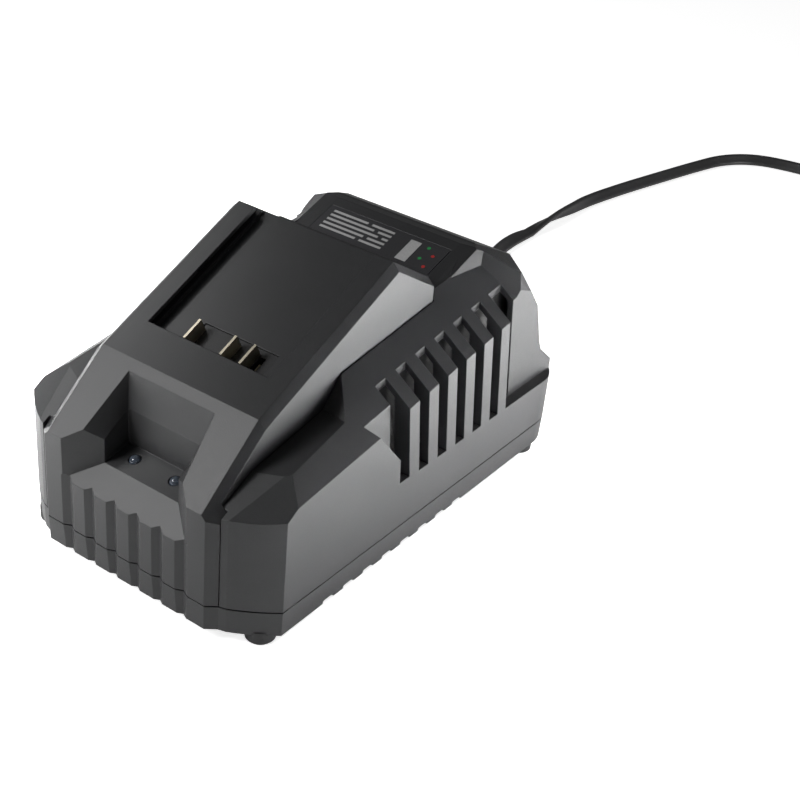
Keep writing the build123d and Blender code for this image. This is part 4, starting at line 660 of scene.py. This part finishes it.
# ---------------------------------------------------------------- label
PRINT_HEIGHTS = (-0.02 * MM, 0.06 * MM)
PRINT_ROWS = 5
PRINT_MARGIN = 2.0 * MM
ROW_HEIGHT = 1.1 * MM
ROWS_FROM_LEFT = 3.0 * MM
ROWS_SHARE = 0.95
ROW_GAP = 2.0 * MM
TALL_BAR_FROM_RIGHT = 17.0 * MM
TALL_BAR_WIDTH = 5.0 * MM
TALL_BAR_MARGIN = 2.2 * MM
DOT_RADIUS = 0.75 * MM
DOT_SIDES = 20
DOTS_FROM_RIGHT = 8.0 * MM
DOT_COLUMN_GAP = 4.0 * MM
PRINT_GRAIN_DEPTH = 0.004 * MM


def label_plane():
    """Middle, axes, upward normal and half sizes of the label film, from its own CAD node."""
    film = frame["nodes"]["label_plate"]
    faces = [face for face in film.data.polygons if face.normal.z > 0.3]
    top = max(faces, key=lambda face: face.area)
    normal = (film.matrix_world.to_3x3() @ top.normal).normalized()
    points = [film.matrix_world @ v.co for v in film.data.vertices]
    surface = max(point.dot(normal) for point in points)
    across = Vector((1, 0, 0))
    along = normal.cross(across)
    us = [point.dot(across) for point in points]
    vs = [point.dot(along) for point in points]
    middle = across * (min(us) + max(us)) / 2 + along * (min(vs) + max(vs)) / 2 + normal * surface
    return middle, across, along, normal, (max(us) - min(us)) / 2, (max(vs) - min(vs)) / 2


def printed(name, shapes, material):
    """Thin printed shapes on the label; each is a list of (across, along) points."""
    middle, across, along, normal, _, _ = label_plane()

    def build(work):
        for shape in shapes:
            flat = [middle + across * u + along * v for u, v in shape]
            skin(work, [[point + normal * height for point in flat] for height in PRINT_HEIGHTS])

    return add_piece(name, mesh_from(name, build), material, smooth=False)


def bar(u, v, width, height):
    """Corners of a bar from its lower left one."""
    return [(u, v), (u + width, v), (u + width, v + height), (u, v + height)]


def dot(u, v):
    """Points round a dot."""
    angles = [math.tau * i / DOT_SIDES for i in range(DOT_SIDES)]
    return [(u + DOT_RADIUS * math.cos(a), v + DOT_RADIUS * math.sin(a)) for a in angles]


def print_ink(name, colour):
    """Ink of the printed shapes."""
    return moulded(name, colour, roughness=0.4, depth=PRINT_GRAIN_DEPTH)


def make_label_print():
    """Plain bars and dots in place of lettering."""
    _, _, _, _, half_u, half_v = label_plane()
    pale = print_ink("print_pale", (0.42, 0.42, 0.42))
    green = print_ink("print_green", (0.03, 0.28, 0.08))
    red = print_ink("print_red", (0.45, 0.03, 0.03))
    left = -half_u + ROWS_FROM_LEFT
    pitch = (2 * half_v - 2 * PRINT_MARGIN) / PRINT_ROWS
    block = half_u * ROWS_SHARE
    bars = []
    for row in range(PRINT_ROWS):
        v = half_v - PRINT_MARGIN - pitch * row - ROW_HEIGHT
        share = 0.62 + 0.30 * math.sin(2.3 * row) ** 2
        bars.append(bar(left, v, block * share, ROW_HEIGHT))
        bars.append(bar(left + block * share + ROW_GAP, v, block * (1.02 - share), ROW_HEIGHT))
    tall = 2 * half_v - 2 * TALL_BAR_MARGIN
    bars.append(bar(half_u - TALL_BAR_FROM_RIGHT, -half_v + TALL_BAR_MARGIN, TALL_BAR_WIDTH, tall))
    printed("label_bars", bars, pale)
    column = half_u - DOTS_FROM_RIGHT
    rows = [half_v * share for share in (0.6, 0.2, -0.2, -0.6)]
    printed("label_green_dots", [dot(column, v) for v in rows[::2]], green)
    printed("label_red_dots", [dot(column + DOT_COLUMN_GAP, v) for v in rows[1::2]], red)


make_label_print()

# ---------------------------------------------------------------- floor and light
# The floor glows for the camera and for reflections, apart from the ground under the housing:
# a painted shade, a box of these half sizes whose corners are cut where x + y passes SHADE_CORNER.
FLOOR_SIZE = 8.0
CAMERA_GLOW = 0.80
MIRROR_GLOW = 0.22
SHADE_HALF = (0.0552, 0.0915)
SHADE_CORNER = 0.1290
SHADE_BLUR = 0.5 * MM


def seen_by(tree, camera_level, mirror_level):
    """A level for camera rays, another for reflections and through clear pieces, none for the rest."""
    rays = tree.nodes.new("ShaderNodeLightPath")
    direct = spread(tree, rays.outputs["Is Camera Ray"], 0.0, camera_level)
    glossy = spread(tree, rays.outputs["Is Glossy Ray"], 0.0, mirror_level)
    through = spread(tree, rays.outputs["Is Transmission Ray"], 0.0, mirror_level)
    return combined(tree, direct, combined(tree, glossy, through))


def outside_painted_shade(tree):
    """Painted shade: one on the open floor and nothing under the housing, so that the floor's glow is
    cut there and the ground looks shaded.
    """
    parts = tree.nodes.new("ShaderNodeSeparateXYZ")
    link(tree, object_coordinates(tree), parts.inputs[0])
    sizes = []
    edges = []
    for axis, half in zip("XY", SHADE_HALF):
        size = tree.nodes.new("ShaderNodeMath")
        size.operation = "ABSOLUTE"
        link(tree, parts.outputs[axis], size.inputs[0])
        sizes.append(size.outputs[0])
        edges.append(spread(tree, size.outputs[0], 0.0, 1.0, half - SHADE_BLUR, half + SHADE_BLUR))
    corner = combined(tree, *sizes, "ADD")
    edges.append(spread(tree, corner, 0.0, 1.0, SHADE_CORNER - SHADE_BLUR, SHADE_CORNER + SHADE_BLUR))
    return combined(tree, combined(tree, *edges[:2]), edges[2])


def make_floor():
    """Pale floor that keeps the object's shadow and glows for the camera and, weakly, in mirrors; the
    glow is cut under the housing as a painted shade.
    """
    material, tree, shader = new_material("studio_floor")
    shader.inputs["Base Color"].default_value = (0.90, 0.90, 0.90, 1.0)
    shader.inputs["Roughness"].default_value = 0.9
    shader.inputs["Specular IOR Level"].default_value = 0.0
    level = combined(tree, seen_by(tree, CAMERA_GLOW, MIRROR_GLOW), outside_painted_shade(tree), "MULTIPLY")
    glow = tree.nodes.new("ShaderNodeEmission")
    glow.inputs["Color"].default_value = (1.0, 1.0, 1.0, 1.0)
    link(tree, level, glow.inputs["Strength"])
    both = tree.nodes.new("ShaderNodeAddShader")
    link(tree, shader.outputs["BSDF"], both.inputs[0])
    link(tree, glow.outputs["Emission"], both.inputs[1])
    link(tree, both.outputs["Shader"], tree.nodes["Material Output"].inputs["Surface"])
    half = FLOOR_SIZE / 2

    def build(work):
        corners = [(-half, -half, 0), (half, -half, 0), (half, half, 0), (-half, half, 0)]
        work.faces.new([work.verts.new(corner) for corner in corners])

    mesh = mesh_from("studio_floor", build)
    mesh.materials.append(material)
    floor = bpy.data.objects.new("studio_floor", mesh)
    collection.objects.link(floor)


def area_light(name, place, target, size, power, beam=180.0):
    """A square soft light at a place, facing a target; beam is its spread in degrees."""
    data = bpy.data.lights.new(name, "AREA")
    data.shape = "SQUARE"
    data.size = size
    data.energy = power
    data.spread = math.radians(beam)
    lamp = bpy.data.objects.new(name, data)
    collection.objects.link(lamp)
    lamp.location = place
    lamp.rotation_mode = "QUATERNION"
    lamp.rotation_quaternion = (Vector(target) - Vector(place)).to_track_quat("-Z", "Y")
    lamp.visible_camera = False


HORIZON_LEVEL = 0.28
ZENITH_LEVEL = 0.06
ZENITH_FROM = 0.40


def make_world():
    """Pale round the horizon, dark overhead, white where the camera sees it."""
    world = bpy.data.worlds.new("studio")
    world.use_nodes = True
    tree = world.node_tree
    parts = tree.nodes.new("ShaderNodeSeparateXYZ")
    link(tree, tree.nodes.new("ShaderNodeTexCoord").outputs["Generated"], parts.inputs[0])
    sky = spread(tree, parts.outputs["Z"], HORIZON_LEVEL, ZENITH_LEVEL, 0.0, ZENITH_FROM)
    back = tree.nodes["Background"]
    back.inputs["Color"].default_value = (1.0, 1.0, 1.0, 1.0)
    link(tree, combined(tree, sky, seen_by(tree, 1.0, 0.0)), back.inputs["Strength"])
    bpy.context.scene.world = world


make_floor()
make_world()
area_light("light_floor_right", (0.46, 0.15, 0.45), (0.46, 0.15, 0.0), 0.35, 15.0, beam=72.0)
area_light("light_right_low", (0.54, 0.34, 0.09), (0.06, 0.0, 0.05), 0.16, 2.0)
area_light("light_floor_left", (-0.46, -0.14, 0.55), (-0.46, -0.14, 0.0), 0.35, 8.0, beam=70.0)
area_light("light_front", (-0.62, -0.80, 0.85), (0.0, -0.05, 0.05), 0.5, 11.0)

scene = bpy.context.scene
scene.view_settings.view_transform = "Standard"
